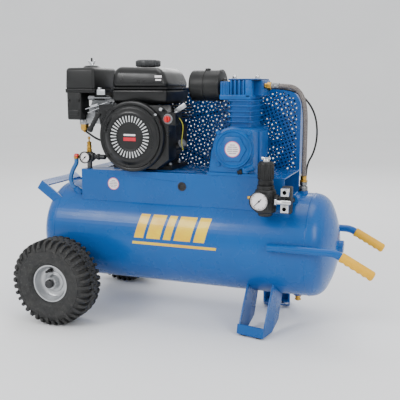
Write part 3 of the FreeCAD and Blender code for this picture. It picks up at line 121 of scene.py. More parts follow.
# baked enamel over rolled steel: a wet gloss with faint orange peel, 5 mm across
blueEnamel = makeSurface("bakedBlueEnamel", {
    "colour": "#00539C", "second": "#004E93", "patchSize": 180, "smudgeSize": 60, "rough": (0.22, 0.34),
    "grain": [(5, 0.03), (70, 0.25)], "sockets": {"Coat Weight": 0.12, "Coat Roughness": 0.1,
                                                  "Specular IOR Level": 0.32, "IOR": 1.5}})
# the same enamel sprayed on sand castings: a pebbly face, 2.5 mm grains
blueCasting = makeSurface("paintedIronCasting", {
    "colour": "#00559E", "second": "#004A8A", "patchSize": 45, "smudgeSize": 20, "rough": (0.3, 0.46),
    "grain": [(2.5, 0.16), (12, 0.25)], "sockets": {"Coat Weight": 0.1, "Coat Roughness": 0.25,
                                                    "Specular IOR Level": 0.3, "IOR": 1.5}})
# satin black enamel on deep-drawn steel: dark grey sheen, slight dust
blackEnamel = makeSurface("satinBlackEnamel", {
    "colour": "#0E0F10", "second": "#141516", "patchSize": 70, "smudgeSize": 35, "rough": (0.26, 0.4),
    "grain": [(3, 0.03)], "sockets": {"Coat Weight": 0.12, "Coat Roughness": 0.14,
                                      "Specular IOR Level": 0.34, "IOR": 1.5}})
# black paint on aluminium die castings: duller and grained, 1.6 mm
blackCasting = makeSurface("blackDieCasting", {
    "colour": "#141516", "second": "#1D1E1F", "patchSize": 30, "smudgeSize": 14, "rough": (0.42, 0.6),
    "grain": [(1.6, 0.1)], "sockets": {"IOR": 1.5}})
# moulded black polypropylene: fine leather grain, 1.4 mm
blackPlastic = makeSurface("mouldedBlackPolypropylene", {
    "colour": "#121314", "second": "#181919", "patchSize": 60, "smudgeSize": 30, "rough": (0.36, 0.5),
    "grain": [(1.4, 0.05)], "sockets": {"Specular IOR Level": 0.4, "IOR": 1.49}})
# moulded nylon, plain grey, for levers and collars
greyPlastic = makeSurface("mouldedGreyNylon", {
    "colour": "#6E7073", "second": "#7B7D80", "patchSize": 20, "smudgeSize": 10, "rough": (0.35, 0.5),
    "grain": [(1.2, 0.05)], "sockets": {"IOR": 1.53}})
# moulded nylon, glossy red, for the engine switch
redPlastic = makeSurface("mouldedRedNylon", {
    "colour": "#D8161B", "second": "#C40F14", "patchSize": 15, "smudgeSize": 8, "rough": (0.25, 0.4),
    "grain": [(1.0, 0.03)], "sockets": {"IOR": 1.53, "Coat Weight": 0.3}})
# soft vinyl dipped grip: even yellow, matt from handling
yellowVinyl = makeSurface("softYellowVinyl", {
    "colour": "#E6AE00", "second": "#D8A000", "patchSize": 40, "smudgeSize": 18, "rough": (0.42, 0.58),
    "grain": [(1.5, 0.06), (14, 0.15)], "sockets": {"IOR": 1.52}})
# tyre tread compound: carbon black with road dust caught in it
tyreRubber = makeSurface("tyreTreadRubber", {
    "colour": "#1D1E1F", "second": "#2A2A29", "patchSize": 26, "smudgeSize": 12, "rough": (0.62, 0.85),
    "speck": "#4A4845", "speckSize": 5, "speckFrom": 0.6, "speckMost": 0.5, "grain": [(2, 0.12)],
    "sockets": {"IOR": 1.52}})
# moulded rubber for pads, plugs and lines: dark and dull
blackRubber = makeSurface("mouldedBlackRubber", {
    "colour": "#161617", "second": "#202021", "patchSize": 18, "smudgeSize": 9, "rough": (0.55, 0.75),
    "grain": [(1.5, 0.08)], "sockets": {"IOR": 1.52}})
# aluminium-coloured lacquer on pressed steel
rimLacquer = makeSurface("silverLacquerOnSteel", {
    "colour": "#B9BBBD", "second": "#AEB0B3", "patchSize": 30, "smudgeSize": 16, "rough": (0.3, 0.44),
    "grain": [(1.5, 0.03)], "sockets": {"Metallic": 0.75, "Coat Weight": 0.3, "Coat Roughness": 0.2}})
# clear zinc plate: pale blue-white metal, a little cloudy
zincPlate = makeSurface("clearZincPlate", {
    "colour": "#C9CCCF", "second": "#B4B7BA", "patchSize": 8, "smudgeSize": 6, "rough": (0.25, 0.42),
    "grain": [(0.9, 0.02)], "sockets": {"Metallic": 1.0}})
# bright steel from the lathe: mid grey with fine marks
turnedSteel = makeSurface("turnedSteel", {
    "colour": "#8E9092", "second": "#77797B", "patchSize": 10, "smudgeSize": 6, "rough": (0.3, 0.48),
    "grain": [(0.8, 0.02)], "sockets": {"Metallic": 1.0}})
# steel with an oiled black finish
darkSteel = makeSurface("blackenedSteel", {
    "colour": "#3B3C3E", "second": "#4A4A4B", "patchSize": 10, "smudgeSize": 7, "rough": (0.35, 0.55),
    "grain": [(1, 0.03)], "sockets": {"Metallic": 0.85}})
# grey iron, machined and dry: dark and matt
castIron = makeSurface("machinedGreyIron", {
    "colour": "#6A6B6C", "second": "#5A5957", "patchSize": 12, "smudgeSize": 8, "rough": (0.4, 0.6),
    "grain": [(1.4, 0.06)], "sockets": {"Metallic": 0.9}})
# aluminium as cast: pale and pebbly, 1.4 mm
rawAluminium = makeSurface("castAluminium", {
    "colour": "#A9ABAD", "second": "#939598", "patchSize": 14, "smudgeSize": 8, "rough": (0.38, 0.58),
    "grain": [(1.4, 0.09)], "sockets": {"Metallic": 1.0}})
# free-cutting brass, turned: warm yellow, slightly tarnished in spots
yellowBrass = makeSurface("turnedBrass", {
    "colour": "#C9A04A", "second": "#B0853A", "patchSize": 8, "smudgeSize": 5, "rough": (0.22, 0.4),
    "grain": [(0.9, 0.02)], "sockets": {"Metallic": 1.0}})
# nickel plate on brass: smooth, near-mirror
chromePlate = makeSurface("brightNickelPlate", {
    "colour": "#D5D7D9", "second": "#C9CBCD", "patchSize": 12, "smudgeSize": 7, "rough": (0.1, 0.22),
    "grain": [(4, 0.01)], "sockets": {"Metallic": 1.0}})
# rubber-coated belt cloth: matt black with a faint nap
beltFabric = makeSurface("rubberedBeltFabric", {
    "colour": "#191919", "second": "#242322", "patchSize": 14, "smudgeSize": 6, "rough": (0.65, 0.85),
    "grain": [(1.2, 0.1)], "sockets": {"IOR": 1.5, "Sheen Weight": 0.1}})
# stainless wire braid over the hose: dull grey metal, its weave drawn as 2 mm grains so that it shows
steelBraid = makeSurface("stainlessWireBraid", {
    "colour": "#86807E", "second": "#6E6866", "patchSize": 6, "smudgeSize": 5, "rough": (0.35, 0.55),
    "speck": "#4A4644", "speckSize": 2.4, "speckFrom": 0.5, "speckMost": 0.7, "grain": [(1.8, 0.25)],
    "sockets": {"Metallic": 0.7}})
# pale lacquer on the starter's vent bars: even, hardly metallic
brightLacquer = makeSurface("paleVentLacquer", {
    "colour": "#DADCDD", "second": "#CCCFD0", "patchSize": 20, "smudgeSize": 10, "rough": (0.3, 0.42),
    "grain": [(1.2, 0.03)], "sockets": {"Metallic": 0.25, "IOR": 1.5}})
# dark grey nylon cap with painted highlights: a lighter second tone laid in random patches
capPlastic = makeSurface("ribbedGreyNylonCap", {
    "colour": "#2E3032", "second": "#3D3F41", "patchSize": 16, "smudgeSize": 8, "rough": (0.3, 0.46),
    "grain": [(1.2, 0.05)], "sockets": {"IOR": 1.53}})
# black heat-proof paint on the silencer: dull, browned in patches
heatBlack = makeSurface("hotBlackPaint", {
    "colour": "#1F1E1D", "second": "#35302B", "patchSize": 40, "smudgeSize": 16, "rough": (0.5, 0.72),
    "grain": [(1.5, 0.06)], "sockets": {"IOR": 1.5}})
# printed vinyl labels and painted marks: flat, faintly glossy
whiteVinyl = makeSurface("whiteLabelVinyl", {
    "colour": "#F1EDEE", "second": "#E9E4E6", "patchSize": 20, "smudgeSize": 12, "rough": (0.3, 0.42),
    "grain": [(6, 0.01)], "sockets": {"IOR": 1.5}})
roseVinyl = makeSurface("roseLabelVinyl", {
    "colour": "#D86B86", "second": "#CE5F7C", "patchSize": 20, "smudgeSize": 12, "rough": (0.3, 0.42),
    "grain": [(6, 0.01)], "sockets": {"IOR": 1.5}})
greyInk = makeSurface("greyLabelInk", {
    "colour": "#9A8F9B", "second": "#8D828F", "patchSize": 15, "smudgeSize": 9, "rough": (0.35, 0.5),
    "grain": [(6, 0.01)], "sockets": {"IOR": 1.5}})
blackInk = makeSurface("blackDialInk", {
    "colour": "#101010", "second": "#1A1A1A", "patchSize": 15, "smudgeSize": 9, "rough": (0.4, 0.5),
    "sockets": {"IOR": 1.5}})
yellowInk = makeSurface("yellowScreenInk", {
    "colour": "#F0CC00", "second": "#E4AE00", "patchSize": 60, "smudgeSize": 30, "rough": (0.28, 0.4),
    "grain": [(5, 0.02)], "sockets": {"IOR": 1.5, "Coat Weight": 0.3}})
redInk = makeSurface("redScreenInk", {
    "colour": "#D01F35", "second": "#C0182D", "patchSize": 20, "smudgeSize": 12, "rough": (0.3, 0.42),
    "sockets": {"IOR": 1.5}})
# enamel brushed on bent tube
blueTubing = makeSurface("bluePaintedTube", {
    "colour": "#0A62A6", "second": "#075594", "patchSize": 30, "smudgeSize": 14, "rough": (0.25, 0.4),
    "grain": [(3, 0.03)], "sockets": {"IOR": 1.5, "Coat Weight": 0.4}})
# sleeve of the switch wire
wireYellow = makeSurface("yellowWireSleeve", {
    "colour": "#B9B53A", "second": "#9FA132", "patchSize": 10, "smudgeSize": 6, "rough": (0.4, 0.55),
    "sockets": {"IOR": 1.5}})
# backdrop paper: nearly white and quite matt
paleSweep = makeSurface("palePaperSweep", {
    "colour": "#F4F5F6", "second": "#F1F2F3", "patchSize": 900, "smudgeSize": 400, "rough": (0.8, 0.9),
    "sockets": {"IOR": 1.45}})
print("materials", len(bpy.data.materials))


def lineUp(at, way):
    # matrix that takes +z to the given direction and the origin to the given place
    heading = directions[way] if isinstance(way, str) else Vector(way).normalized()
    return Matrix.Translation(at) @ heading.to_track_quat("Z", "Y").to_matrix().to_4x4()


def turnsAbout(place, count):
    # one place turned about its own z axis, count times round
    return [place @ Matrix.Rotation(math.tau * step / count, 4, "Z") for step in range(count)]


def polar(radius, degrees):
    return radius * math.cos(math.radians(degrees)), radius * math.sin(math.radians(degrees))


def unique(items):
    # each item once, in the order met, so that every run makes the same mesh
    return list(dict.fromkeys(items))


def connected(verts):
    # the given vertices and all that edges join to them
    found = list(verts)
    known = set(found)
    for vert in found:
        for edge in vert.link_edges:
            other = edge.other_vert(vert)
            if other not in known:
                known.add(other)
                found.append(other)
    return found


def bevelledVerts(made, verts):
    # what a bevel made, and what it left of the vertices it was given
    return unique([vert for face in made["faces"] for vert in face.verts]
                  + [vert for vert in verts if vert.is_valid])


def addBox(bm, low, high, bevel=0.0, steps=2, matrix=None):
    verts = bmesh.ops.create_cube(bm, size=1.0)["verts"]
    low, high = Vector(low), Vector(high)
    bmesh.ops.scale(bm, vec=high - low, verts=verts)
    bmesh.ops.translate(bm, vec=(low + high) / 2, verts=verts)
    if bevel:
        edges = unique(edge for vert in verts for edge in vert.link_edges)
        made = bmesh.ops.bevel(bm, geom=edges, offset=bevel, segments=steps, profile=0.5, affect="EDGES",
                               clamp_overlap=True, material=-1)
        verts = bevelledVerts(made, verts)
    if matrix:
        bmesh.ops.transform(bm, matrix=matrix, verts=verts)
    return verts


def addSpin(bm, profile, at=(0, 0, 0), way="z", sides=48, closed=False, matrix=None):
    # profile of (radius, distance along the axis) spun all the way round
    verts = [bm.verts.new((radius, 0, along)) for radius, along in profile]
    pairs = list(zip(verts, verts[1:])) + ([(verts[-1], verts[0])] if closed else [])
    edges = [bm.edges.new(pair) for pair in pairs]
    made = bmesh.ops.spin(bm, geom=verts + edges, cent=(0, 0, 0), axis=(0, 0, 1), angle=math.tau,
                          steps=sides, use_merge=True, use_duplicate=False)
    ring = connected(verts)
    bmesh.ops.remove_doubles(bm, verts=[vert for vert in ring if math.hypot(vert.co.x, vert.co.y) < 1e-4],
                             dist=1e-3)
    ring = [vert for vert in ring if vert.is_valid]
    bmesh.ops.transform(bm, matrix=matrix or lineUp(at, way), verts=ring)
    return ring


def softRod(radius, length, edge=1.0):
    # solid turned bar with small chamfers
    return [(0, 0), (radius - edge, 0), (radius, edge), (radius, length - edge), (radius - edge, length),
            (0, length)]


def addRod(bm, radius, length, at, way="z", edge=0.8, sides=32):
    return addSpin(bm, softRod(radius, length, min(edge, radius * 0.3, length * 0.3)), at, way, sides)


def addHex(bm, across, height, at, way="z", edge=0.6, sides=6):
    verts = bmesh.ops.create_cone(bm, cap_ends=True, segments=sides,
                                  radius1=across / math.cos(math.pi / sides) / 2,
                                  radius2=across / math.cos(math.pi / sides) / 2, depth=height)["verts"]
    bmesh.ops.translate(bm, vec=(0, 0, height / 2), verts=verts)
    edges = unique(line for vert in verts for line in vert.link_edges)
    made = bmesh.ops.bevel(bm, geom=edges, offset=edge, segments=1, profile=0.5, affect="EDGES",
                           material=-1)
    verts = bevelledVerts(made, verts)
    bmesh.ops.transform(bm, matrix=lineUp(at, way), verts=verts)
    return verts


def addBolt(bm, across, at, way="z"):
    # flanged hexagon head
    addRod(bm, across * 0.68, across * 0.16, at, way, 0.4, 24)
    heading = directions[way] if isinstance(way, str) else Vector(way).normalized()
    addHex(bm, across, across * 0.55, Vector(at) + heading * across * 0.14, way)


bodyOf = {node: body for body, nodes in frame["record"]["behaviour"]["bodies"].items() for node in nodes}


def attach(piece, node, body):
    # a piece that stands for a frame part rides that part's body and hides the part
    bpy.context.scene.collection.objects.link(piece)
    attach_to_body(piece, bodyOf[node] if node else body)
    if node:
        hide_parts(node)


def placePiece(mesh, name, material, node=None, body="root", smooth=32):
    mesh.shade_smooth()
    mesh.set_sharp_from_angle(angle=math.radians(smooth))
    mesh.materials.append(material)
    piece = bpy.data.objects.new(name, mesh)
    attach(piece, node, body)
    return piece


def finishPiece(bm, name, material, node=None, body="root", smooth=32, tidy=True):
    # millimetres to the frame, normals outwards, edges sharper than the angle kept crisp
    if tidy:
        bmesh.ops.remove_doubles(bm, verts=bm.verts, dist=1e-3)
        bmesh.ops.recalc_face_normals(bm, faces=bm.faces)
    bmesh.ops.transform(bm, matrix=toFrame, verts=bm.verts)
    mesh = bpy.data.meshes.new(name)
    bm.to_mesh(mesh)
    bm.free()
    placePiece(mesh, name, material, node, body, smooth)


def copyNode(node, material, bevel=0.0):
    # welded copy of a frame part, with softened edges where it is sheet or cast metal
    bm = bmesh.new()
    bm.from_mesh(frame["nodes"][node].data)
    bmesh.ops.remove_doubles(bm, verts=bm.verts, dist=2e-6)
    mesh = bpy.data.meshes.new(node)
    bm.to_mesh(mesh)
    bm.free()
    words = node.split("_")
    title = words[0] + "".join(word.title() for word in words[1:]) + "Shape"
    piece = placePiece(mesh, title, material, node)
    if bevel:
        soft = piece.modifiers.new("softEdges", "BEVEL")
        soft.width = bevel / 1000
        soft.segments = 2
        soft.limit_method = "ANGLE"
        soft.angle_limit = math.radians(40)
        soft.harden_normals = True


# camera, four soft lamps and a pale paper sweep
studio = {"cameraAt": (0.66400, -1.88037, 0.71627), "tilt": 79.90, "heading": 19.91, "lens": 58.54,
          "skyStrength": 1.15, "floorRadius": 8000, "bendRadius": 2000, "wallTop": 3400}
camera = bpy.data.objects.new("camera", bpy.data.cameras.new("camera"))
camera.location = studio["cameraAt"]
camera.rotation_euler = (math.radians(studio["tilt"]), 0, math.radians(studio["heading"]))
camera.data.lens = studio["lens"]
camera.data.sensor_width = 36
camera.data.clip_start = 0.05
bpy.context.scene.collection.objects.link(camera)
bpy.context.scene.camera = camera

lamps = {
    "keyBox": {"at": (-1.6, -2.6, 2.3), "aim": (-0.1, 0, 0.45), "size": (1.3, 1.0), "power": 46},
    "fillBox": {"at": (2.4, -1.6, 1.9), "aim": (0.1, 0, 0.4), "size": (0.9, 1.3), "power": 24},
    "topBox": {"at": (0.1, 0.3, 3.0), "aim": (0, 0, 0.3), "size": (2.0, 1.4), "power": 28},
    "backBox": {"at": (-0.8, 2.8, 2.0), "aim": (0, 0, 0.4), "size": (1.6, 1.2), "power": 24},
}
for lampName, plan in lamps.items():
    light = bpy.data.lights.new(lampName, "AREA")
    light.shape = "RECTANGLE"
    light.size, light.size_y = plan["size"]
    light.energy = plan["power"]
    lamp = bpy.data.objects.new(lampName, light)
    lamp.location = plan["at"]
    lamp.rotation_euler = (Vector(plan["aim"]) - Vector(plan["at"])).to_track_quat("-Z", "Y").to_euler()
    bpy.context.scene.collection.objects.link(lamp)
world = bpy.data.worlds.new("studioSky")
world.use_nodes = True
world.node_tree.nodes["Background"].inputs["Color"].default_value = (1, 1, 1, 1)
world.node_tree.nodes["Background"].inputs["Strength"].default_value = studio["skyStrength"]
bpy.context.scene.world = world

bm = bmesh.new()
reach, curl = studio["floorRadius"], studio["bendRadius"]
bend = [(reach + curl * math.sin(step * math.pi / 16), curl * (1 - math.cos(step * math.pi / 16)))
        for step in range(9)]
addSpin(bm, [(0, 0), (1500, 0), (4000, 0)] + bend + [(reach + curl, studio["wallTop"])], sides=64)
bmesh.ops.transform(bm, matrix=Matrix.Scale(0.001, 4), verts=bm.verts)
bmesh.ops.recalc_face_normals(bm, faces=bm.faces)
bmesh.ops.reverse_faces(bm, faces=bm.faces)
sweepMesh = bpy.data.meshes.new("paperSweep")
bm.to_mesh(sweepMesh)
bm.free()
sweepMesh.shade_smooth()
sweepMesh.materials.append(paleSweep)
sweep = bpy.data.objects.new("paperSweep", sweepMesh)
bpy.context.scene.collection.objects.link(sweep)
print("studio ready")


def span(node):
    # lowest and highest corners of a frame part, in millimetres from the middle of the tank
    low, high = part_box(node)
    return toFrame.inverted() @ low, toFrame.inverted() @ high


def addArray(bm, source, matrices):
    # copies of a small mesh at each matrix
    for matrix in matrices:
        made = bmesh.ops.duplicate(source, geom=source.verts[:] + source.edges[:] + source.faces[:])
        verts = [item for item in made["geom"] if isinstance(item, bmesh.types.BMVert)]
        bmesh.ops.transform(source, matrix=matrix, verts=verts)
        tags = {vert: bm.verts.new(vert.co) for vert in verts}
        for face in [item for item in made["geom"] if isinstance(item, bmesh.types.BMFace)]:
            bm.faces.new([tags[vert] for vert in face.verts])
        bmesh.ops.delete(source, geom=verts, context="VERTS")


def pressOut(bm, outline, depth, bevel=0.0, steps=2, matrix=None):
    # flat outline of (x, y) points raised by depth along z
    face = bm.faces.new([bm.verts.new((x, y, 0)) for x, y in outline])
    made = bmesh.ops.extrude_face_region(bm, geom=[face])["geom"]
    top = [item for item in made if isinstance(item, bmesh.types.BMVert)]
    bmesh.ops.translate(bm, vec=(0, 0, depth), verts=top)
    verts = unique(top + list(face.verts))
    if bevel:
        # edges too short for the bevel stay sharp
        edges = [edge for edge in unique(each for vert in verts for each in vert.link_edges)
                 if edge.calc_length() > bevel * 2.2]
        made = bmesh.ops.bevel(bm, geom=edges, offset=bevel, segments=steps, profile=0.5, affect="EDGES",
                               clamp_overlap=True, material=-1)
        verts = bevelledVerts(made, verts)
    if matrix:
        bmesh.ops.transform(bm, matrix=matrix, verts=verts)
    return verts


def archCorners(low, high, radius, steps=5):
    # rounded rectangle as (x, y) points
    points = []
    middles = ((high[0] - radius, high[1] - radius, 0), (low[0] + radius, high[1] - radius, 90),
               (low[0] + radius, low[1] + radius, 180), (high[0] - radius, low[1] + radius, 270))
    for x, y, start in middles:
        for step in range(steps + 1):
            across, up = polar(radius, start + 90 * step / steps)
            points.append((x + across, y + up))
    return points


# wheels: pneumatic tyres with knobby turf tread on pressed steel rims
tyre = {"carcass": 123.6, "tread": 130.6, "lugs": 38, "lugLong": 101.0, "lugShort": 112.0,
        "lugWide": 11.0, "blockLong": 19.0, "blockWide": 11.5, "slant": 24.0, "valveAt": 36.0}
tyreSide = [(55, 34), (57.5, 39), (62, 44.6), (67, 47.4), (69, 48.6), (71, 48.4), (82, 50.0), (93, 50.3),
            (98, 49.9), (99, 50.6), (100.5, 50.4), (101, 49.2), (108, 47.2), (114, 43.5), (118.6, 38),
            (121.6, 30), (123.2, 20), (123.6, 8)]
rimDish = {"outer": [(56.9, 34.2), (57.6, 36.5), (57, 38.3), (55, 39), (52.6, 38.2), (51.2, 35), (50.4, 30),
                     (48.5, 20), (45, 14.5), (40, 12.2), (33, 11.6), (31.2, 12.4), (30.4, 14.2), (29, 15.2),
                     (24, 15.6), (22, 17), (20.8, 21), (19.6, 29), (18.6, 34), (17, 36), (9, 36)],
           "inner": [(9, -36), (19, -36), (19, 4), (31, 8.6), (44, 9.5), (48, 8), (50.3, 2), (50.3, -34),
                     (51.5, -37.8), (55, -39), (57.4, -37), (57, -34), (53.2, -34), (53.2, 34)]}


def treadLug(reach):
    # one shoulder lug wrapped from the tread down the sidewall
    path = [(tyre["tread"], 22), (tyre["tread"] - 0.4, 34), (127, 41.5), (121, 47), (112, 50.2),
            (reach, 50.4)]
    under = [(reach - 1, 47), (112, 43), (118, 36), (121.5, 28), (121.5, 22)]
    lug = bmesh.new()
    face = lug.faces.new([lug.verts.new((radius, 0, along)) for radius, along in path + under])
    made = bmesh.ops.extrude_face_region(lug, geom=[face])["geom"]
    verts = [item for item in made if isinstance(item, bmesh.types.BMVert)]
    bmesh.ops.translate(lug, vec=(0, tyre["lugWide"], 0), verts=verts)
    bmesh.ops.translate(lug, vec=(0, -tyre["lugWide"] / 2, 0), verts=lug.verts)
    for vert in lug.verts:
        vert.co.y *= 0.78 + 0.22 * (130 - vert.co.x) / 30
    bmesh.ops.recalc_face_normals(lug, faces=lug.faces)
    outside = [edge for edge in lug.edges if edge.is_manifold and edge.calc_face_angle(0) > 1.0
               and abs(edge.verts[0].co.y - edge.verts[1].co.y) < 2
               and max(vert.co.x for vert in edge.verts) > 104
               and min(vert.co.z for vert in edge.verts) > 30]
    bmesh.ops.bevel(lug, geom=outside, offset=1.1, segments=1, profile=0.5, affect="EDGES", material=-1)
    return lug


def makeTyre(side, outward):
    box = span("tyre_" + side)
    middle = (box[0] + box[1]) / 2
    place = lineUp(middle, "y" if outward > 0 else "-y")
    bm = bmesh.new()
    profile = tyreSide + [(radius, -along) for radius, along in reversed(tyreSide)]
    addSpin(bm, profile, sides=120, closed=True)
    for face in (1, -1):
        flip = Matrix.Identity(4) if face > 0 else Matrix.Rotation(math.pi, 4, "X")
        for parity, reach in enumerate((tyre["lugLong"], tyre["lugShort"])):
            # long and short lugs take turns, and the far side is half a lug on
            starts = [2 * step + parity + 0.5 * (face < 0) for step in range(tyre["lugs"] // 2)]
            turns = [flip @ Matrix.Rotation(math.tau * start / tyre["lugs"], 4, "Z") for start in starts]
            addArray(bm, treadLug(reach), turns)
    block = bmesh.new()
    addBox(block, (tyre["carcass"] - 3, -tyre["blockLong"] / 2, -tyre["blockWide"] / 2),
           (tyre["tread"], tyre["blockLong"] / 2, tyre["blockWide"] / 2), 1.3, 1)
    rows = []
    for step in range(tyre["lugs"]):
        for row, along in enumerate((-12.5, 0, 12.5)):
            turn = math.tau * (step + 0.5 * (row % 2)) / tyre["lugs"]
            tilt = math.radians(tyre["slant"] * (1 if row != 1 else -1) * (1 if step % 2 else 0.3))
            rows.append(Matrix.Rotation(turn, 4, "Z") @ Matrix.Translation((0, 0, along))
                        @ Matrix.Rotation(tilt, 4, "X"))
    addArray(bm, block, rows)
    bmesh.ops.transform(bm, matrix=place, verts=bm.verts)
    finishPiece(bm, side + "TyreTread", tyreRubber, "tyre_" + side, smooth=34)
    bm = bmesh.new()
    addSpin(bm, softRod(4.6, 12, 0.8), (0, -tyre["valveAt"], 12), "z", 20)
    addSpin(bm, [(0, 0), (3.6, 0), (3.9, 1), (3.9, 13), (3.2, 14.5), (0, 14.5)],
            (0, -tyre["valveAt"], 23), "z", 16)
    addBox(bm, (-9.5, -tyre["valveAt"] - 5.5, 11.3), (9.5, -tyre["valveAt"] + 5.5, 12.9), 0.7, 1)
    turn = Matrix.Rotation(math.radians(20 if outward < 0 else -20), 4, "Z")
    if outward < 0:
        turn = turn @ Matrix.Rotation(math.pi, 4, "Z")
    bmesh.ops.transform(bm, matrix=place @ turn, verts=bm.verts)
    finishPiece(bm, side + "TyreValve", blackRubber, body=side + "_wheel")
    bm = bmesh.new()
    addSpin(bm, rimDish["outer"] + rimDish["inner"], sides=96, closed=True, matrix=place)
    finishPiece(bm, side + "WheelRim", rimLacquer, "rim_" + side, smooth=40)


makeTyre("near", -1)
makeTyre("far", 1)
print("wheels")


# tank: rolled barrel, pressed heads, weld beads at the joints
for node in ("tank_barrel", "tank_head_left", "tank_head_right"):
    copyNode(node, blueEnamel, 0.8)
tank = {"radius": 152.4, "axis": 248.2, "seam": 397.4, "bead": 2.6}
bm = bmesh.new()
for side in (-1, 1):
    bead = [(tank["radius"] - 0.4 + tank["bead"] * 0.5 * math.sin(step * math.pi / 6),
             side * tank["seam"] - tank["bead"] * math.cos(step * math.pi / 6)) for step in range(7)]
    addSpin(bm, bead, (0, 0, tank["axis"]), "x", 144, closed=True)
finishPiece(bm, "tankWeldBeads", blueEnamel)


def bendOnBarrel(bm, lift=0.25):
    # wrap flat artwork of (x, z) round the barrel's near side
    radius = tank["radius"] + lift
    for vert in bm.verts:
        height = vert.co.z - tank["axis"]
        angle = height / radius
        vert.co.y = -radius * math.cos(angle) + vert.co.y
        vert.co.z = tank["axis"] + radius * math.sin(angle)


# painted mark on the barrel: plain slanted bars over a thin stripe
art = {"left": -118.0, "low": 262.0, "high": 336.0, "lean": 17.0, "gap": 10.0,
       "widths": (30, 44, 24, 52, 34), "stripeLow": 243.0, "stripeHigh": 251.0, "stripeEnd": 142.0}
bm = bmesh.new()
start = art["left"]
for width in art["widths"]:
    corners = [(start, art["low"]), (start + width, art["low"]),
               (start + width + art["lean"], art["high"]), (start + art["lean"], art["high"])]
    bm.faces.new([bm.verts.new((x, 0, z)) for x, z in corners])
    start += width + art["gap"]
corners = [(art["left"] - 6, art["stripeLow"]), (art["stripeEnd"], art["stripeLow"]),
           (art["stripeEnd"] + 2, art["stripeHigh"]), (art["left"] - 4, art["stripeHigh"])]
bm.faces.new([bm.verts.new((x, 0, z)) for x, z in corners])
for height in range(246, 336, 6):
    bmesh.ops.bisect_plane(bm, geom=bm.verts[:] + bm.edges[:] + bm.faces[:], plane_co=(0, 0, height),
                           plane_no=(0, 0, 1))
bendOnBarrel(bm)
bmesh.ops.solidify(bm, geom=bm.faces[:], thickness=-0.2)
finishPiece(bm, "tankPaintedMark", yellowInk, smooth=50)

# deck with folded edges, rubber plugs in its side ports
copyNode("deck", blueEnamel, 2.2)
plug = {"x": 20, "y": 105, "z": 417}
bm = bmesh.new()
profile = [(0, -5), (9, -5), (10.6, -2), (13.4, 0), (13.6, 1.4), (12, 2.2), (9.4, 1.6), (8.6, -1.2),
           (0, -1.8)]
for side, way in ((-1, "-y"), (1, "y")):
    addSpin(bm, profile, (plug["x"], side * plug["y"], plug["z"]), way, 40)
finishPiece(bm, "deckPortPlugs", blackRubber)
copyNode("axle_mounts", blueEnamel, 1.0)
copyNode("lift_bar", blueEnamel, 1.6)
copyNode("handle_tubes", blueEnamel)
copyNode("legs", blueEnamel, 1.6)

pad = {"centres": ((232.1, 153.6), (279.2, 163.0)),
       "profile": [(0, 0), (9.5, 0), (11, 1.2), (10.4, 5.2), (9.4, 6), (0, 6)]}
bm = bmesh.new()
for side in (-1, 1):
    for x, y in pad["centres"]:
        addSpin(bm, pad["profile"], (x, side * y, 0), "z", 32)
finishPiece(bm, "footPads", blackRubber, "foot_pads")

# grips with finger waves along the underside
grip = {"length": 101.0, "drop": 28.6, "radius": 13.9, "faceRadius": 14, "side": 162.2, "wave": 2.4,
        "fingers": 5}


def makeGrips():
    box = span("grips")
    slope = math.radians(grip["drop"])
    heading = Vector((math.cos(slope), 0, -math.sin(slope)))
    bm = bmesh.new()
    for side in (-1, 1):
        # the end face centre is set back from the box's far corner by the face's radius
        end = Vector((box[1].x - grip["faceRadius"] * math.sin(slope), side * grip["side"],
                      box[0].z + grip["faceRadius"] * math.cos(slope)))
        base = end - heading * grip["length"]
        profile = [(11.2, 0.2), (13.0, 0.3), (13.8, 1.6)]
        profile += [(grip["radius"], 3 + step * 1.5) for step in range(62)]
        profile += [(grip["radius"] - 0.8, 97), (grip["radius"] - 2.6, 99.2), (grip["radius"] - 5.4, 100.5),
                    (0, 100.9)]
        verts = addSpin(bm, profile, sides=40)
        for vert in verts:
            under = max(0.0, vert.co.x / max(1e-6, math.hypot(vert.co.x, vert.co.y)))
            phase = (vert.co.z - 6) / (grip["length"] - 14) * grip["fingers"]
            if 0 < phase < grip["fingers"] and math.hypot(vert.co.x, vert.co.y) > 12:
                dip = grip["wave"] * (0.5 - 0.5 * math.cos(math.tau * phase)) * under ** 1.5
                vert.co.x -= dip
        turn = Matrix.Rotation(math.radians(90 + grip["drop"]), 4, "Y")
        bmesh.ops.transform(bm, matrix=Matrix.Translation(base) @ turn, verts=verts)
    finishPiece(bm, "handleGrips", yellowVinyl, "grips", smooth=50)


makeGrips()
print("tank and chassis")


# belt guard: two perforated sheets joined by a solid band
guard = {"pitch": 11.1, "hole": 7.0, "edge": 12.0, "corner": 60.0, "sheet": 1.3, "turnFront": 21.0,
         "turnBack": -21.0}


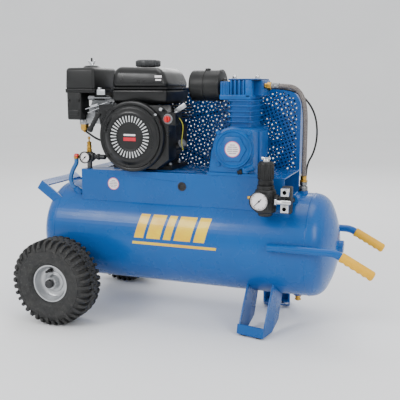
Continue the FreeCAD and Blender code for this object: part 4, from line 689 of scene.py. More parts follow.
def makeGuard(node, name, turn, hubs):
    low, high = span(node)
    centre = (low + high) / 2
    wide, tall = high.x - low.x, high.z - low.z
    pitch = guard["pitch"]
    cell = bmesh.new()
    outer = [cell.verts.new((pitch / 2 * x, pitch / 2 * y, 0)) for x, y in
             ((1, 0), (1, 1), (0, 1), (-1, 1), (-1, 0), (-1, -1), (0, -1), (1, -1))]
    ring = [cell.verts.new((guard["hole"] / 2 * math.cos(math.tau * step / 8),
                            guard["hole"] / 2 * math.sin(math.tau * step / 8), 0))
            for step in range(8)]
    for step in range(8):
        after = (step + 1) % 8
        cell.faces.new((outer[step], outer[after], ring[after], ring[step]))
    spread = int(math.hypot(wide, tall) / 2 / pitch) + 1
    slope = math.radians(turn)
    cells = []
    for column in range(-spread, spread + 1):
        for row in range(-spread, spread + 1):
            x, y = column * pitch, row * pitch
            along, up = x * math.cos(slope) - y * math.sin(slope), x * math.sin(slope) + y * math.cos(slope)
            if abs(along) < wide / 2 + pitch and abs(up) < tall / 2 + pitch:
                cells.append(Matrix.Rotation(slope, 4, "Z") @ Matrix.Translation((x, y, 0)))
    bm = bmesh.new()
    addArray(bm, cell, cells)
    bmesh.ops.remove_doubles(bm, verts=bm.verts, dist=0.05)
    inset = guard["edge"] - 1.0
    halfWide, halfTall, bend = wide / 2 - inset, tall / 2 - inset, guard["corner"] - inset
    trims = [(halfWide, 0), (-halfWide, 0), (0, halfTall), (0, -halfTall)]
    planes = [(Vector((x, y, 0)), Vector((x, y, 0)).normalized()) for x, y in trims]
    for signX in (-1, 1):
        for signY in (-1, 1):
            middle = Vector((signX * (halfWide - bend), signY * (halfTall - bend), 0))
            for angle in (22.5, 45, 67.5):
                across, up = polar(1, angle)
                out = Vector((signX * across, signY * up, 0))
                planes.append((middle + out * bend, out))
    for point, out in planes:
        bmesh.ops.bisect_plane(bm, geom=bm.verts[:] + bm.edges[:] + bm.faces[:], plane_co=point,
                               plane_no=out, clear_outer=True)
    for x, z, radius in hubs:
        spot = Vector((x - centre.x, z - centre.z, 0))
        gone = [vert for vert in bm.verts if (vert.co - spot).length < radius + 1]
        bmesh.ops.delete(bm, geom=gone, context="VERTS")
    bmesh.ops.recalc_face_normals(bm, faces=bm.faces)
    bmesh.ops.solidify(bm, geom=bm.faces[:], thickness=guard["sheet"] - 0.3)
    middleZ = sum(vert.co.z for vert in bm.verts) / len(bm.verts)
    bmesh.ops.translate(bm, vec=(0, 0, -middleZ), verts=bm.verts)
    rings = [(archCorners((-wide / 2, -tall / 2), (wide / 2, tall / 2), guard["corner"], 10),
              archCorners((-halfWide + 1, -halfTall + 1), (halfWide - 1, halfTall - 1), bend - 1, 10))]
    for x, z, radius in hubs:
        rings.append(tuple([(x - centre.x + edge * math.cos(math.tau * step / 40),
                             z - centre.z + edge * math.sin(math.tau * step / 40))
                            for step in range(40)] for edge in (radius + 11, radius)))
    for outline, inside in rings:
        loops = []
        for points in (outline, inside):
            verts = [bm.verts.new((x, y, -guard["sheet"] / 2)) for x, y in points]
            loops += [bm.edges.new(pair) for pair in zip(verts, verts[1:] + verts[:1])]
        flat = bmesh.ops.bridge_loops(bm, edges=loops)["faces"]
        bmesh.ops.recalc_face_normals(bm, faces=flat)
        made = bmesh.ops.extrude_face_region(bm, geom=flat)["geom"]
        lifted = [item for item in made if isinstance(item, bmesh.types.BMVert)]
        bmesh.ops.translate(bm, vec=(0, 0, guard["sheet"]), verts=lifted)
    bmesh.ops.recalc_face_normals(bm, faces=bm.faces)
    bmesh.ops.transform(bm, matrix=Matrix.Translation(centre) @ Matrix.Rotation(math.pi / 2, 4, "X"),
                        verts=bm.verts)
    finishPiece(bm, name, blueEnamel, node, tidy=False, smooth=40)


pumpShaft = span("pump_shaft")
engineShaft = span("engine_shaft")
pumpX, pumpZ = (pumpShaft[0].x + pumpShaft[1].x) / 2, (pumpShaft[0].z + pumpShaft[1].z) / 2
engineX, engineZ = (engineShaft[0].x + engineShaft[1].x) / 2, (engineShaft[0].z + engineShaft[1].z) / 2
makeGuard("guard_front", "guardPerforatedFront", guard["turnFront"],
          [(pumpX, pumpZ, 46), (engineX, engineZ, 52)])
makeGuard("guard_back", "guardPerforatedBack", guard["turnBack"], [])
copyNode("guard_band", blueEnamel)
copyNode("pump_flywheel", blueCasting, 1.5)
copyNode("engine_pulley", castIron, 0.6)
copyNode("drive_belt", beltFabric)
print("guard and drive")


# engine: petrol, horizontal shaft, satin black; positions come from the frame parts
engineFront = span("fan_housing")[0].y
shaftAt = Vector((engineX, engineFront, engineZ))
copyNode("engine_crankcase", blackCasting, 2.5)
copyNode("engine_cylinder", rawAluminium, 0.8)
copyNode("engine_flywheel", rawAluminium)
copyNode("engine_shaft", turnedSteel)
copyNode("fan_housing", blackEnamel, 4.0)

shroud = {"inner": 92.0, "bars": 36, "barFrom": 44.0, "barTo": 63.0, "barWide": 4.4}
bm = bmesh.new()
# rolled front edge of the blower housing
addSpin(bm, [(shroud["inner"], 12), (shroud["inner"], 3), (94, 0.4), (97, -1.2), (100, -1.4), (103, -0.4),
             (105.2, 2.4), (106, 6), (106, 24), (104.5, 26), (104.5, 12)], shaftAt, "-y", 96, closed=True,
        matrix=lineUp(shaftAt, "y"))
for angle in (38, 128, 218, 308):
    across, up = polar(98, angle)
    spot = shaftAt + Vector((across, -1, up))
    addHex(bm, 9, 4.5, spot, "-y")
finishPiece(bm, "blowerHousingLip", blackEnamel)

# recoil starter cover: domed steel with a ring of bright vent bars
bm = bmesh.new()
profile = [(0, 7.4), (30, 7.4), (38, 8.4), (41, 9.6), (43, 9.8), (43.6, 8.0), (64.2, 8.0), (65, 10.6),
           (68, 11.2), (74, 9.6), (80, 6.0), (84.5, 2.0), (87, 1.4), (93, 1.4), (93, -2), (66, -1), (0, -1)]
addSpin(bm, profile, shaftAt, "-y", 120)
for radius, height in ((70, 10.6), (76, 8.4)):
    for first in (-28, 8):
        # pressed arc ridges on the right of the cover
        ridge = [Vector((*polar(radius, first + step * 3), 0)) for step in range(10)]
        for place, after in zip(ridge, ridge[1:]):
            angle = math.atan2(after.y - place.y, after.x - place.x)
            middle = (place + after) / 2
            matrix = lineUp(shaftAt, "-y") @ Matrix.Translation((middle.x, middle.y, height - 0.6)) \
                @ Matrix.Rotation(angle, 4, "Z")
            addBox(bm, (-2.2, -1.1, -1), (2.2, 1.1, 1.3), 0.6, 1, matrix)
finishPiece(bm, "recoilCoverDome", blackEnamel, "recoil_cover")
bar = bmesh.new()
addBox(bar, (shroud["barFrom"], -shroud["barWide"] / 2, 7.8),
       (shroud["barTo"], shroud["barWide"] / 2, 10.3), 1.0, 2)
for vert in bar.verts:
    vert.co.y *= 0.62 + 0.38 * (vert.co.x - shroud["barFrom"]) / (shroud["barTo"] - shroud["barFrom"])
bm = bmesh.new()
addArray(bm, bar, turnsAbout(lineUp(shaftAt, "-y"), shroud["bars"]))
finishPiece(bm, "recoilVentBars", brightLacquer)
bm = bmesh.new()
addSpin(bm, [(0, 9.2), (28, 9.2), (36.5, 9.0), (37.6, 8.2), (36.5, 7.2), (0, 7.2)], shaftAt, "-y", 64)
finishPiece(bm, "recoilCentreDisc", blackPlastic)
bm = bmesh.new()
addBox(bm, (-19, 3, 9), (19, 8.5, 9.7), 0.3, 1, lineUp(shaftAt, "-y"))
finishPiece(bm, "recoilWhiteBar", whiteVinyl)
bm = bmesh.new()
addBox(bm, (-20, -12, 9), (20, -1.5, 9.8), 0.3, 1, lineUp(shaftAt, "-y"))
finishPiece(bm, "recoilRedBar", redInk)

# starter grip: moulded T handle on its cord stub
starterLow, starterHigh = span("starter_grip")
gripMiddle = (starterLow + starterHigh) / 2
bm = bmesh.new()
gripTurn = Matrix.Translation(gripMiddle) @ Matrix.Rotation(math.radians(32), 4, "Y")
profile = [(0, -33.5), (6, -33.5), (8.4, -31.5), (9, -28), (8.2, -24)] + \
          [(6.9 + 0.6 * math.cos(step * math.pi / 2), -20 + step * 2.5) for step in range(17)] + \
          [(8.2, 24), (9, 28), (8.4, 31.5), (6, 33.5), (0, 33.5)]
addSpin(bm, profile, sides=28, matrix=gripTurn)
addRod(bm, 4.2, 6.2, gripMiddle + Vector((0, 9.0, 0)), "-y")
finishPiece(bm, "starterGripHandle", blackPlastic, "starter_grip")

# fuel tank: pressed halves crimped at a seam, crowned top
fuelLow, fuelHigh = span("fuel_tank")
fuel = {"seamAt": 47.0, "crown": 24.0, "neck": 22.0}
bm = bmesh.new()
seamZ = fuelLow.z + fuel["seamAt"]
low = Vector((fuelLow.x + 4, fuelLow.y + 4, fuelLow.z))
high = Vector((fuelHigh.x - 4, fuelHigh.y - 2, fuelHigh.z - 10))
lower = addBox(bm, low, (high.x, high.y, seamZ), 13, 5)
for vert in lower:
    share = (seamZ - vert.co.z) / (seamZ - low.z)
    middle = (low + high) / 2
    vert.co.x = middle.x + (vert.co.x - middle.x) * (1 - 0.05 * share)
    vert.co.y = middle.y + (vert.co.y - middle.y) * (1 - 0.06 * share)
upper = addBox(bm, (low.x, low.y, seamZ - 6), (high.x, high.y, high.z), fuel["crown"], 8)
for vert in upper:
    share = max(0.0, (vert.co.z - seamZ) / (high.z - seamZ))
    rightness = (vert.co.x - low.x) / (high.x - low.x)
    vert.co.x -= share ** 1.4 * 22 * max(0.0, rightness - 0.35) / 0.65
    vert.co.x += share ** 1.5 * 5 * (1 - rightness)
    vert.co.y += share ** 1.5 * 9 * (0.5 - (vert.co.y - low.y) / (high.y - low.y)) * 2
    if vert.co.z > seamZ + 20:
        vert.co.z -= 3.5 * rightness ** 2
pressOut(bm, archCorners((fuelLow.x, fuelLow.y), (fuelHigh.x, fuelHigh.y), 18, 8), 4.4, 0, 1,
         Matrix.Translation((0, 0, seamZ - 1.6)))
addSpin(bm, [(0, high.z - 4), (fuel["neck"], high.z - 4), (fuel["neck"], fuelHigh.z), (0, fuelHigh.z)],
        (engineX, 5, 0), "z", 48)
finishPiece(bm, "fuelTankPressing", blackEnamel, "fuel_tank", smooth=38)
bm = bmesh.new()
# small data plate with plain bars on the tank's slanted end
plate = Matrix.Translation((high.x - 24, fuelLow.y + 1.4, seamZ + 34)) \
    @ Matrix.Rotation(math.pi / 2, 4, "X")
addBox(bm, (-11, -3, -0.2), (11, 3.4, 0.9), 0.3, 1, plate)
addBox(bm, (-9, -12, -0.2), (9, -7, 0.9), 0.3, 1, plate)
finishPiece(bm, "fuelTankPlainBars", whiteVinyl)

cap = {"ribs": 22, "radius": 37.4}
capLow, capHigh = span("fuel_cap")
capAt = Vector(((capLow.x + capHigh.x) / 2, (capLow.y + capHigh.y) / 2, capLow.z))
tall = capHigh.z - capLow.z
bm = bmesh.new()
addSpin(bm, [(0, 0.6), (35, 0.6), (36.6, 2), (cap["radius"], 4), (cap["radius"], tall - 6),
             (35.5, tall - 2.4), (31, tall - 0.6), (22, tall - 0.4), (20, tall - 1.6),
             (0, tall - 1.2)], capAt, "z", 66)
rib = bmesh.new()
addBox(rib, (cap["radius"] - 3, -2.3, 3), (38.9, 2.3, tall - 4), 1.1, 2)
addArray(bm, rib, turnsAbout(Matrix.Translation(capAt), cap["ribs"]))
finishPiece(bm, "fuelCapRibbed", capPlastic, "fuel_cap")

# air cleaner: moulded cover over a tray, snorkel box below, wing nut on top
coverLow, coverHigh = span("air_cleaner_cover")
caseLow, caseHigh = span("air_cleaner_case")
bm = bmesh.new()
top = coverHigh.z - 8
body = addBox(bm, (coverLow.x, coverLow.y, coverLow.z + 1), (coverHigh.x, coverHigh.y, top), 11, 5)
for vert in body:
    share = (vert.co.z - coverLow.z) / (top - coverLow.z)
    vert.co.x += (0.5 - (vert.co.x - coverLow.x) / (coverHigh.x - coverLow.x)) * 5 * share
    vert.co.y += (0.5 - (vert.co.y - coverLow.y) / (coverHigh.y - coverLow.y)) * 5 * share
pressOut(bm, archCorners((coverLow.x - 2, coverLow.y - 2), (coverHigh.x + 2, coverHigh.y + 2), 12, 6), 6,
         1.0, 2, Matrix.Translation((0, 0, coverLow.z)))
wing = span("wing_nut")
studX, studY = (wing[0].x + wing[1].x) / 2, (wing[0].y + wing[1].y) / 2
addSpin(bm, [(0, top - 2), (34, top - 2), (33, top + 0.4), (27, top + 2.5), (23, top + 6), (20, top + 7.8),
             (4, top + 8), (0, top + 8)], (studX, studY, 0), "z", 48)
for offset in (-36, 36):
    addBox(bm, (coverLow.x + 22, (coverLow.y + coverHigh.y) / 2 + offset - 2, top - 2),
           (coverHigh.x - 22, (coverLow.y + coverHigh.y) / 2 + offset + 2, top + 1.2), 1.2, 2)
finishPiece(bm, "airCleanerCoverMoulding", blackPlastic, "air_cleaner_cover", smooth=38)
bm = bmesh.new()
addBox(bm, (caseLow.x + 1, caseLow.y + 1, coverLow.z - 6),
       (caseHigh.x - 1, caseHigh.y - 1, coverLow.z + 0.6), 2.5, 3)
addBox(bm, (caseLow.x + 4, caseLow.y + 3, caseLow.z), (caseLow.x + 54, -42, coverLow.z - 3), 5, 4)
addBox(bm, (caseLow.x + 12, caseLow.y + 1.6, caseLow.z + 10),
       (caseLow.x + 46, caseLow.y + 5, caseLow.z + 30), 2, 2)
addRod(bm, 3, caseHigh.z - coverLow.z + 2, (studX, studY, coverLow.z - 1), "z", 0.6, 20)
addBox(bm, (caseHigh.x - 70, -40, coverLow.z - 30), (caseHigh.x - 2, -30, coverLow.z - 3), 2, 2)
for at in (caseLow.x + 12, caseLow.x + 46):
    addHex(bm, 7, 3.5, (at, caseLow.y + 3.2, caseLow.z + 60), "-y")
finishPiece(bm, "airCleanerTray", blackPlastic, "air_cleaner_case", smooth=38)
bm = bmesh.new()
wingZ = wing[0].z
addSpin(bm, [(3.1, wingZ), (6.4, wingZ), (6.4, wingZ + 3), (5, wingZ + 11), (3.1, wingZ + 12)],
        (studX, studY, 0), "z", 28, closed=True)
for side in (-1, 1):
    blade = [(4, 3), (8, 5), (11.5, 9), (13, 14), (12, 17.6), (9.5, 18), (7, 14), (4, 10)]
    pressOut(bm, [(side * x, z) for x, z in blade], 3, 0.8, 2,
             Matrix.Translation((studX, studY + 1.5, wingZ)) @ Matrix.Rotation(math.pi / 2, 4, "X"))
finishPiece(bm, "airCleanerWingNut", chromePlate, "wing_nut")

# carburettor side: float bowl, levers, rods, fuel line
bowlLow, bowlHigh = span("float_bowl")
bowlAt = Vector(((bowlLow.x + bowlHigh.x) / 2, (bowlLow.y + bowlHigh.y) / 2, bowlLow.z))
copyNode("carburettor", rawAluminium, 1.2)
bm = bmesh.new()
tall = bowlHigh.z - bowlLow.z
addSpin(bm, [(0, 0), (6, 0), (10, 2), (12.4, 6), (13, 10), (13, tall - 3), (13.6, tall - 2), (13.6, tall),
             (0, tall)], bowlAt, "z", 40)
addHex(bm, 8, 4, bowlAt + Vector((0, 0, -3.2)), "z")
finishPiece(bm, "carburettorFloatBowl", yellowBrass, "float_bowl")
copyNode("choke_lever", greyPlastic, 0.8)
throttleLow, throttleHigh = span("throttle_lever")
pivotX = throttleHigh.x - 7
bm = bmesh.new()
midY = (throttleLow.y + throttleHigh.y) / 2
addSpin(bm, [(3.1, 0), (6.8, 0), (6.8, 4), (3.1, 4)], (pivotX, midY, 673), "z", 28, closed=True)
addBox(bm, (pivotX - 58, midY - 4.5, 673.2), (pivotX - 4, midY + 4.5, 676.8), 0.8, 1)
addSpin(bm, [(0, 0), (4, 0), (5.6, 1.6), (6.4, 5), (6.4, 17), (5.2, 20.6), (3, 21.8), (0, 22)],
        (pivotX - 50, midY, 675), "-x", 28)
finishPiece(bm, "throttleLeverKnob", greyPlastic, "throttle_lever")
bm = bmesh.new()
# control plate, governor rods and a return spring between carburettor and throttle
addBox(bm, (coverHigh.x + 6, -97, 684), (coverHigh.x + 34, -94, 700), 1.0, 2)
addBox(bm, (coverHigh.x + 10, -97, 698), (coverHigh.x + 19, -88, 706), 1.0, 2)
addRod(bm, 1.4, 78, (bowlAt.x + 18, -86, 640), Vector((1, 0.05, 0.28)), 0.3, 12)
addRod(bm, 1.2, 64, (bowlAt.x + 24, -84, 628), Vector((1, 0.1, 0.42)), 0.3, 12)
addRod(bm, 3.2, 26, (bowlAt.x + 34, -82, 648), Vector((1, 0, 0.3)), 0.6, 16)
addRod(bm, 4.5, 9, (bowlAt.x - 2, -86, 614), "-y", 0.8, 20)
addRod(bm, 3.2, 12, (bowlAt.x + 12, -88, 604), "-y", 0.8, 20)
finishPiece(bm, "governorControls", zincPlate)

# muffler with a pressed guard and louvres
copyNode("muffler", heatBlack, 3.0)
mufflerLow, mufflerHigh = span("muffler")
bm = bmesh.new()
for step in range(7):
    at = mufflerLow.z + 22 + step * 10
    addBox(bm, (mufflerLow.x + 22, mufflerHigh.y - 1, at),
           (mufflerHigh.x - 22, mufflerHigh.y + 1.6, at + 4), 1.4, 2)
for step in range(6):
    at = mufflerLow.x + 20 + step * 15
    addBox(bm, (at, mufflerLow.y + 14, mufflerHigh.z - 1),
           (at + 6, mufflerHigh.y - 14, mufflerHigh.z + 1.4), 1.2, 2)
finishPiece(bm, "mufflerLouvres", heatBlack)

# engine switch: red turn knob on stacked collars
knobLow, knobHigh = span("switch_knob")
knobAt = Vector(((knobLow.x + knobHigh.x) / 2, knobHigh.y, (knobLow.z + knobHigh.z) / 2))
bm = bmesh.new()
addSpin(bm, [(0, 3), (9, 3), (9.8, 4.2), (9.6, 8), (8.4, 10), (0, 10)], knobAt, "-y", 36)
addBox(bm, (-2.6, -9, 9), (2.6, 9, 16), 1.6, 3, lineUp(knobAt, "-y"))
finishPiece(bm, "engineSwitchKnob", redPlastic, "switch_knob")
bm = bmesh.new()
addSpin(bm, [(3.2, -4), (15, -4), (15, 0), (12, 2.4), (10.4, 2.4), (3.2, 1)], knobAt, "-y", 40, closed=True)
finishPiece(bm, "engineSwitchCollar", greyPlastic)

# details on the right of the engine: bright brackets, wires, oil filler, screws
bm = bmesh.new()
tilt = Matrix.Translation((knobAt.x + 24, -70, 646)) @ Matrix.Rotation(math.radians(-32), 4, "Y")
addBox(bm, (-20, -6, -7), (20, -2, 7), 1.2, 2, tilt)
addBox(bm, (-44, -20, -2), (-28, -16, 14), 1.2, 2, tilt)
addRod(bm, 5, 9, (knobAt.x - 18, -118, knobAt.z + 28), "-y", 0.8, 20)
addRod(bm, 4, 7, (knobAt.x - 34, -122, knobAt.z + 12), "-y", 0.8, 20)
addRod(bm, 4, 7, (knobAt.x + 16, -86, knobAt.z + 18), "-y", 0.8, 20)
finishPiece(bm, "engineSideBrackets", zincPlate)
bm = bmesh.new()
for step in range(5):
    addBox(bm, (engineX + 78, -48 + step * 2, 650 - step * 9), (engineX + 128, 60, 653 - step * 9), 0.6, 1)
finishPiece(bm, "engineSideFins", blackCasting)
filler = {"tilt": 62, "at": (engineX + 68, -35, 506)}
bm = bmesh.new()
fillerAt = Vector(filler["at"])
turn = Matrix.Translation(fillerAt) @ Matrix.Rotation(math.radians(filler["tilt"]), 4, "Y")
addSpin(bm, [(0, 60.4), (12.6, 60.4), (14.6, 63), (14.8, 66), (12, 67), (0, 67)], sides=36, matrix=turn)
verts = addHex(bm, 22, 11, (0, 0, 66.5), "z", 1.2)
bmesh.ops.transform(bm, matrix=turn, verts=verts)
finishPiece(bm, "oilFillerCap", greyPlastic, "oil_cap")


def wire(name, points, radius, material, node=None):
    # round wire or tube along points, millimetres
    curve = bpy.data.curves.new(name, "CURVE")
    curve.dimensions = "3D"
    spline = curve.splines.new("NURBS")
    spline.points.add(len(points) - 1)
    for point, at in zip(spline.points, points):
        point.co = (*(toFrame @ Vector(at)), 1)
    spline.order_u = 3
    spline.use_endpoint_u = True
    curve.bevel_depth = radius / 1000
    curve.bevel_resolution = 5
    curve.resolution_u = 10
    curve.use_fill_caps = True
    curve.materials.append(material)
    piece = bpy.data.objects.new(name, curve)
    attach(piece, node, "root")
    return piece


wire("killSwitchWire", [(knobAt.x + 22, -84, knobAt.z + 4), (knobAt.x + 34, -78, knobAt.z - 12),
                        (knobAt.x + 30, -70, knobAt.z - 40), (knobAt.x + 20, -60, knobAt.z - 78),
                        (knobAt.x + 24, -52, knobAt.z - 96)], 1.4, wireYellow)
wire("engineFuelLine", [(bowlAt.x + 4, bowlAt.y, bowlAt.z - 1), (bowlAt.x + 14, bowlAt.y + 2, bowlAt.z - 8),
                        (bowlAt.x + 34, bowlAt.y + 6, bowlAt.z - 22),
                        (bowlAt.x + 60, bowlAt.y + 16, bowlAt.z - 34),
                        (bowlAt.x + 84, bowlAt.y + 22, bowlAt.z - 36)], 3.2, blackRubber)
wire("sparkLead", [(coverLow.x + 34, 62, 640), (coverLow.x + 8, 52, 648), (coverLow.x - 2, 30, 630),
                   (coverLow.x + 6, 10, 612), (coverLow.x + 30, 4, 606)], 3.4, blackRubber)
print("engine")


# pump: twin-cylinder casting, finned barrel, ribbed head, all in the blue enamel
headLow, headHigh = span("pump_head")
barrelLow, barrelHigh = span("pump_cylinder")
crankLow, crankHigh = span("pump_crankcase")
portLeft = headHigh.x - 23
pump = {"fins": 6, "finThick": 4.0, "finCorner": 12.0, "ribs": 4, "ribWide": 5.0}
bm = bmesh.new()
for step in range(pump["fins"]):
    at = barrelLow.z + step * (barrelHigh.z - barrelLow.z - pump["finThick"]) / (pump["fins"] - 1)
    inset = 4.0 if step == 0 else 0.0
    pressOut(bm, archCorners((barrelLow.x + inset, barrelLow.y + inset),
                             (barrelHigh.x - inset, barrelHigh.y - inset), pump["finCorner"], 5),
             pump["finThick"], 1.2, 2, Matrix.Translation((0, 0, at)))
pressOut(bm, archCorners((barrelLow.x + 7, barrelLow.y + 7), (barrelHigh.x - 7, barrelHigh.y - 7), 14, 6),
         barrelHigh.z - barrelLow.z, 0, 1, Matrix.Translation((0, 0, barrelLow.z)))
finishPiece(bm, "pumpFinnedBarrel", blueCasting, "pump_cylinder", smooth=38)

bm = bmesh.new()
topZ = headHigh.z - 4
# lower slab, upper body, side port block and top plate
addBox(bm, (headLow.x, headLow.y, headLow.z), (portLeft, headHigh.y, headLow.z + 15), 3, 3)
addBox(bm, (headLow.x + 2, headLow.y + 2, headLow.z + 12),
       (headLow.x + 30, headHigh.y - 2, topZ - 4), 2.5, 3)
addBox(bm, (headLow.x + 28, headLow.y + 9, headLow.z + 12), (portLeft - 2, headHigh.y - 2, topZ), 2, 2)
addBox(bm, (portLeft - 4, -24, headLow.z + 10), (headHigh.x, headHigh.y, topZ), 4, 3)
addBox(bm, (portLeft - 16, headLow.y, headLow.z + 6), (portLeft + 3, headLow.y + 22, headLow.z + 34), 3, 3)
for step in range(pump["ribs"]):
    at = headLow.x + 32 + step * 12.5
    addBox(bm, (at, headLow.y + 1, headLow.z + 12), (at + pump["ribWide"], headLow.y + 14, topZ), 1.6, 2)
addBox(bm, (headLow.x + 76, headLow.y + 2, headLow.z + 12), (portLeft + 2, headLow.y + 16, topZ), 2.5, 2)
for step in range(3):
    at = headLow.x + 6 + step * 8
    addBox(bm, (at, headLow.y + 0.4, headLow.z + 14), (at + 3.6, headLow.y + 6, topZ - 6), 1.2, 2)
for step in range(8):
    # ribs across the back of the head
    at = headLow.x + 8 + step * 11.5
    addBox(bm, (at, headHigh.y - 6, headLow.z + 12), (at + 4, headHigh.y, topZ - 2), 1.2, 2)
addBox(bm, (headLow.x + 25, headLow.y + 3, topZ + 1.2),
       (headHigh.x - 4, headHigh.y - 3, headHigh.z), 1.2, 2)
finishPiece(bm, "pumpRibbedHead", blueCasting, "pump_head", smooth=38)
bm = bmesh.new()
addBox(bm, (headLow.x + 26, headLow.y + 4, topZ - 0.6),
       (headHigh.x - 5, headHigh.y - 4, topZ + 1.6), 0.4, 1)
addBox(bm, (barrelLow.x - 2, headLow.y + 3, headLow.z - 1.0),
       (portLeft - 3, headHigh.y - 3, headLow.z + 0.8), 0.3, 1)
finishPiece(bm, "pumpHeadGaskets", blackRubber)

# crankcase: sloping shoulders, base flange, round cover with a raised hexagon
case = {"front": crankLow.y + 8, "back": crankHigh.y - 4, "hexagon": 41.0, "labelRadius": 23.0}
bm = bmesh.new()
caseTop = crankHigh.z
baseZ = crankLow.z
outline = [(pumpX - 76, baseZ + 6), (pumpX - 68, caseTop - 66), (pumpX - 52, caseTop - 24),
           (pumpX - 38, caseTop - 6), (pumpX - 30, caseTop), (pumpX + 44, caseTop),
           (pumpX + 56, caseTop - 6), (pumpX + 58, caseTop - 16), (pumpX + 58, baseZ + 22),
           (pumpX + 68, baseZ + 6)]
pressOut(bm, outline, case["back"] - case["front"], 4, 3,
         Matrix.Translation((0, case["back"], 0)) @ Matrix.Rotation(math.pi / 2, 4, "X"))
pressOut(bm, archCorners((crankLow.x, crankLow.y + 4), (pumpX + 82, crankHigh.y), 8, 4), 8, 1.5, 2,
         Matrix.Translation((0, 0, baseZ)))
# side cover on the right with its own flange
addBox(bm, (pumpX + 50, -46, baseZ + 26), (pumpX + 64, 46, caseTop - 10), 3, 3)
pumpAt = Vector((pumpX, case["front"], pumpZ))
addSpin(bm, [(0, -3), (62, -3), (62, 1.4), (60.6, 2.4), (0, 2.4)], pumpAt, "-y", 80)
for angle in (45, 135, 225, 315):
    across, up = polar(64, angle)
    spot = pumpAt + Vector((across, 1, up))
    if spot.x < pumpX + 50:
        addRod(bm, 7, 5, spot, "-y", 1.4, 24)
# oil drain elbow low on the right and breather boss on the left shoulder
addSpin(bm, softRod(9, 40, 2), pumpAt + Vector((30, 3, -62)), Vector((0.9, -0.28, 0.36)), 28)
addBox(bm, (pumpX + 28, case["front"] - 7, baseZ + 9), (pumpX + 46, case["front"] + 4, baseZ + 25), 3, 3)
addSpin(bm, softRod(8, 12, 1.6), pumpAt + Vector((-46, 26, 34)), "-y", 24)
finishPiece(bm, "pumpCastCrankcase", blueCasting, "pump_crankcase", smooth=38)
bm = bmesh.new()
addSpin(bm, softRod(7.5, 7, 1.2), pumpAt + Vector((26, -2, -64)), Vector((-0.9, -0.34, -0.3)), 24)
addHex(bm, 10, 7, pumpAt + Vector((20, -4, -66)), Vector((-0.9, -0.34, -0.3)), 0.8)
finishPiece(bm, "pumpDrainPlug", blackPlastic)

bm = bmesh.new()
addSpin(bm, [(0, 0.4), (56, 0.4), (56, 5.6), (54, 9.2), (50, 9.2), (47.6, 6.4), (0, 6.4)], pumpAt, "-y", 96)
hexagon = [polar(case["hexagon"], 60 * step) for step in range(6)]
pressOut(bm, hexagon, 5.4, 2.2, 2, lineUp(pumpAt + Vector((0, -5.0, 0)), "-y"))
finishPiece(bm, "pumpFrontCover", blueCasting, "pump_cover", smooth=36)


def addSticker(name, at, way, radius):
    # round label: rose rim, pale centre, plain grey bars instead of print
    bm = bmesh.new()
    addSpin(bm, [(radius - 2.2, 0), (radius, 0), (radius, 0.5), (radius - 2.2, 0.5)],
            at, way, 64, closed=True)
    finishPiece(bm, name + "Rim", roseVinyl)
    bm = bmesh.new()
    addSpin(bm, [(0, 0), (radius - 2.2, 0), (radius - 2.2, 0.45), (0, 0.45)], at, way, 64)
    finishPiece(bm, name + "Face", whiteVinyl)
    bm = bmesh.new()
    place = lineUp(at, way)
    for step, half in enumerate((0.32, 0.62, 0.74, 0.7, 0.5)):
        up = radius * (0.52 - step * 0.26)
        for side in (-1, 1):
            addBox(bm, (side * radius * half * 0.5 - radius * half * 0.46, up - radius * 0.055, 0.3),
                   (side * radius * half * 0.5 + radius * half * 0.46, up + radius * 0.055, 0.62), 0, 1,
                   place)
    finishPiece(bm, name + "Bars", greyInk)


addSticker("pumpLabel", pumpAt + Vector((0, -10.4, 0)), "-y", case["labelRadius"])
addSticker("deckLabel", Vector((-207, -105, 414)), "-y", 19.0)
copyNode("pump_shaft", turnedSteel)

# intake filter: ribbed canister with a rolled rim and top nub
filterLow = span("intake_filter")[0]
filterAt = Vector((filterLow.x, 0, filterLow.z + 47.5))
bm = bmesh.new()
addSpin(bm, [(0, 1.6), (36, 1.2), (41, 1.6), (44.5, 4), (46, 8), (46, 46.5), (44.6, 47.6), (44.6, 50.4),
             (46, 51.5), (46, 90), (47.5, 91), (47.5, 96), (46, 97.4), (43.6, 97.6), (43, 99), (40, 100),
             (22, 100), (20, 101), (20, 108), (0, 108)], filterAt, "x", 80)
addSpin(bm, [(0, 0), (8.6, 0), (8.6, 4), (7.4, 6), (4, 7), (0, 7)],
        filterAt + Vector((50, 0, 44.5)), "z", 28)
finishPiece(bm, "pumpIntakeFilter", blackPlastic, "intake_filter", smooth=38)

# fixings: mounting bolts, domed head nuts, axle caps
engineBolts = {"middle": engineX, "apart": 81, "rows": (-18, 57.5), "headSize": 11, "headAt": 468,
               "nutSize": 12, "shank": 22, "shankAt": 450}
pumpBolts = {"middle": pumpX, "apart": 72, "rows": (-62, 62), "headSize": 10, "headAt": 464,
             "nutSize": 11, "shank": 18, "shankAt": 448}
nutAt = 446
bm = bmesh.new()
for bolts in (engineBolts, pumpBolts):
    for x in (bolts["middle"] - bolts["apart"], bolts["middle"] + bolts["apart"]):
        for y in bolts["rows"]:
            addBolt(bm, bolts["headSize"], (x, y, bolts["headAt"]), "z")
            addHex(bm, bolts["nutSize"], 6, (x, y, nutAt), "z")
            addRod(bm, 4, bolts["shank"], (x, y, bolts["shankAt"]), "z")
finishPiece(bm, "mountingBolts", zincPlate, "fasteners")
bm = bmesh.new()
for side in (-1, 1):
    at = ((barrelLow.x + barrelHigh.x) / 2 + side * 35, 0, headHigh.z)
    addSpin(bm, [(0, 0), (9.2, 0), (9.2, 1.4), (8.4, 1.8), (0, 1.8)], at, "z", 28)
    addHex(bm, 12.6, 6, Vector(at) + Vector((0, 0, 1.4)), "z", 0.8)
    addSpin(bm, [(0, 6), (5.6, 6), (5.4, 9), (4.2, 12), (2.2, 13.7), (0, 14)], at, "z", 28)
finishPiece(bm, "headDomeNuts", chromePlate)
bm = bmesh.new()
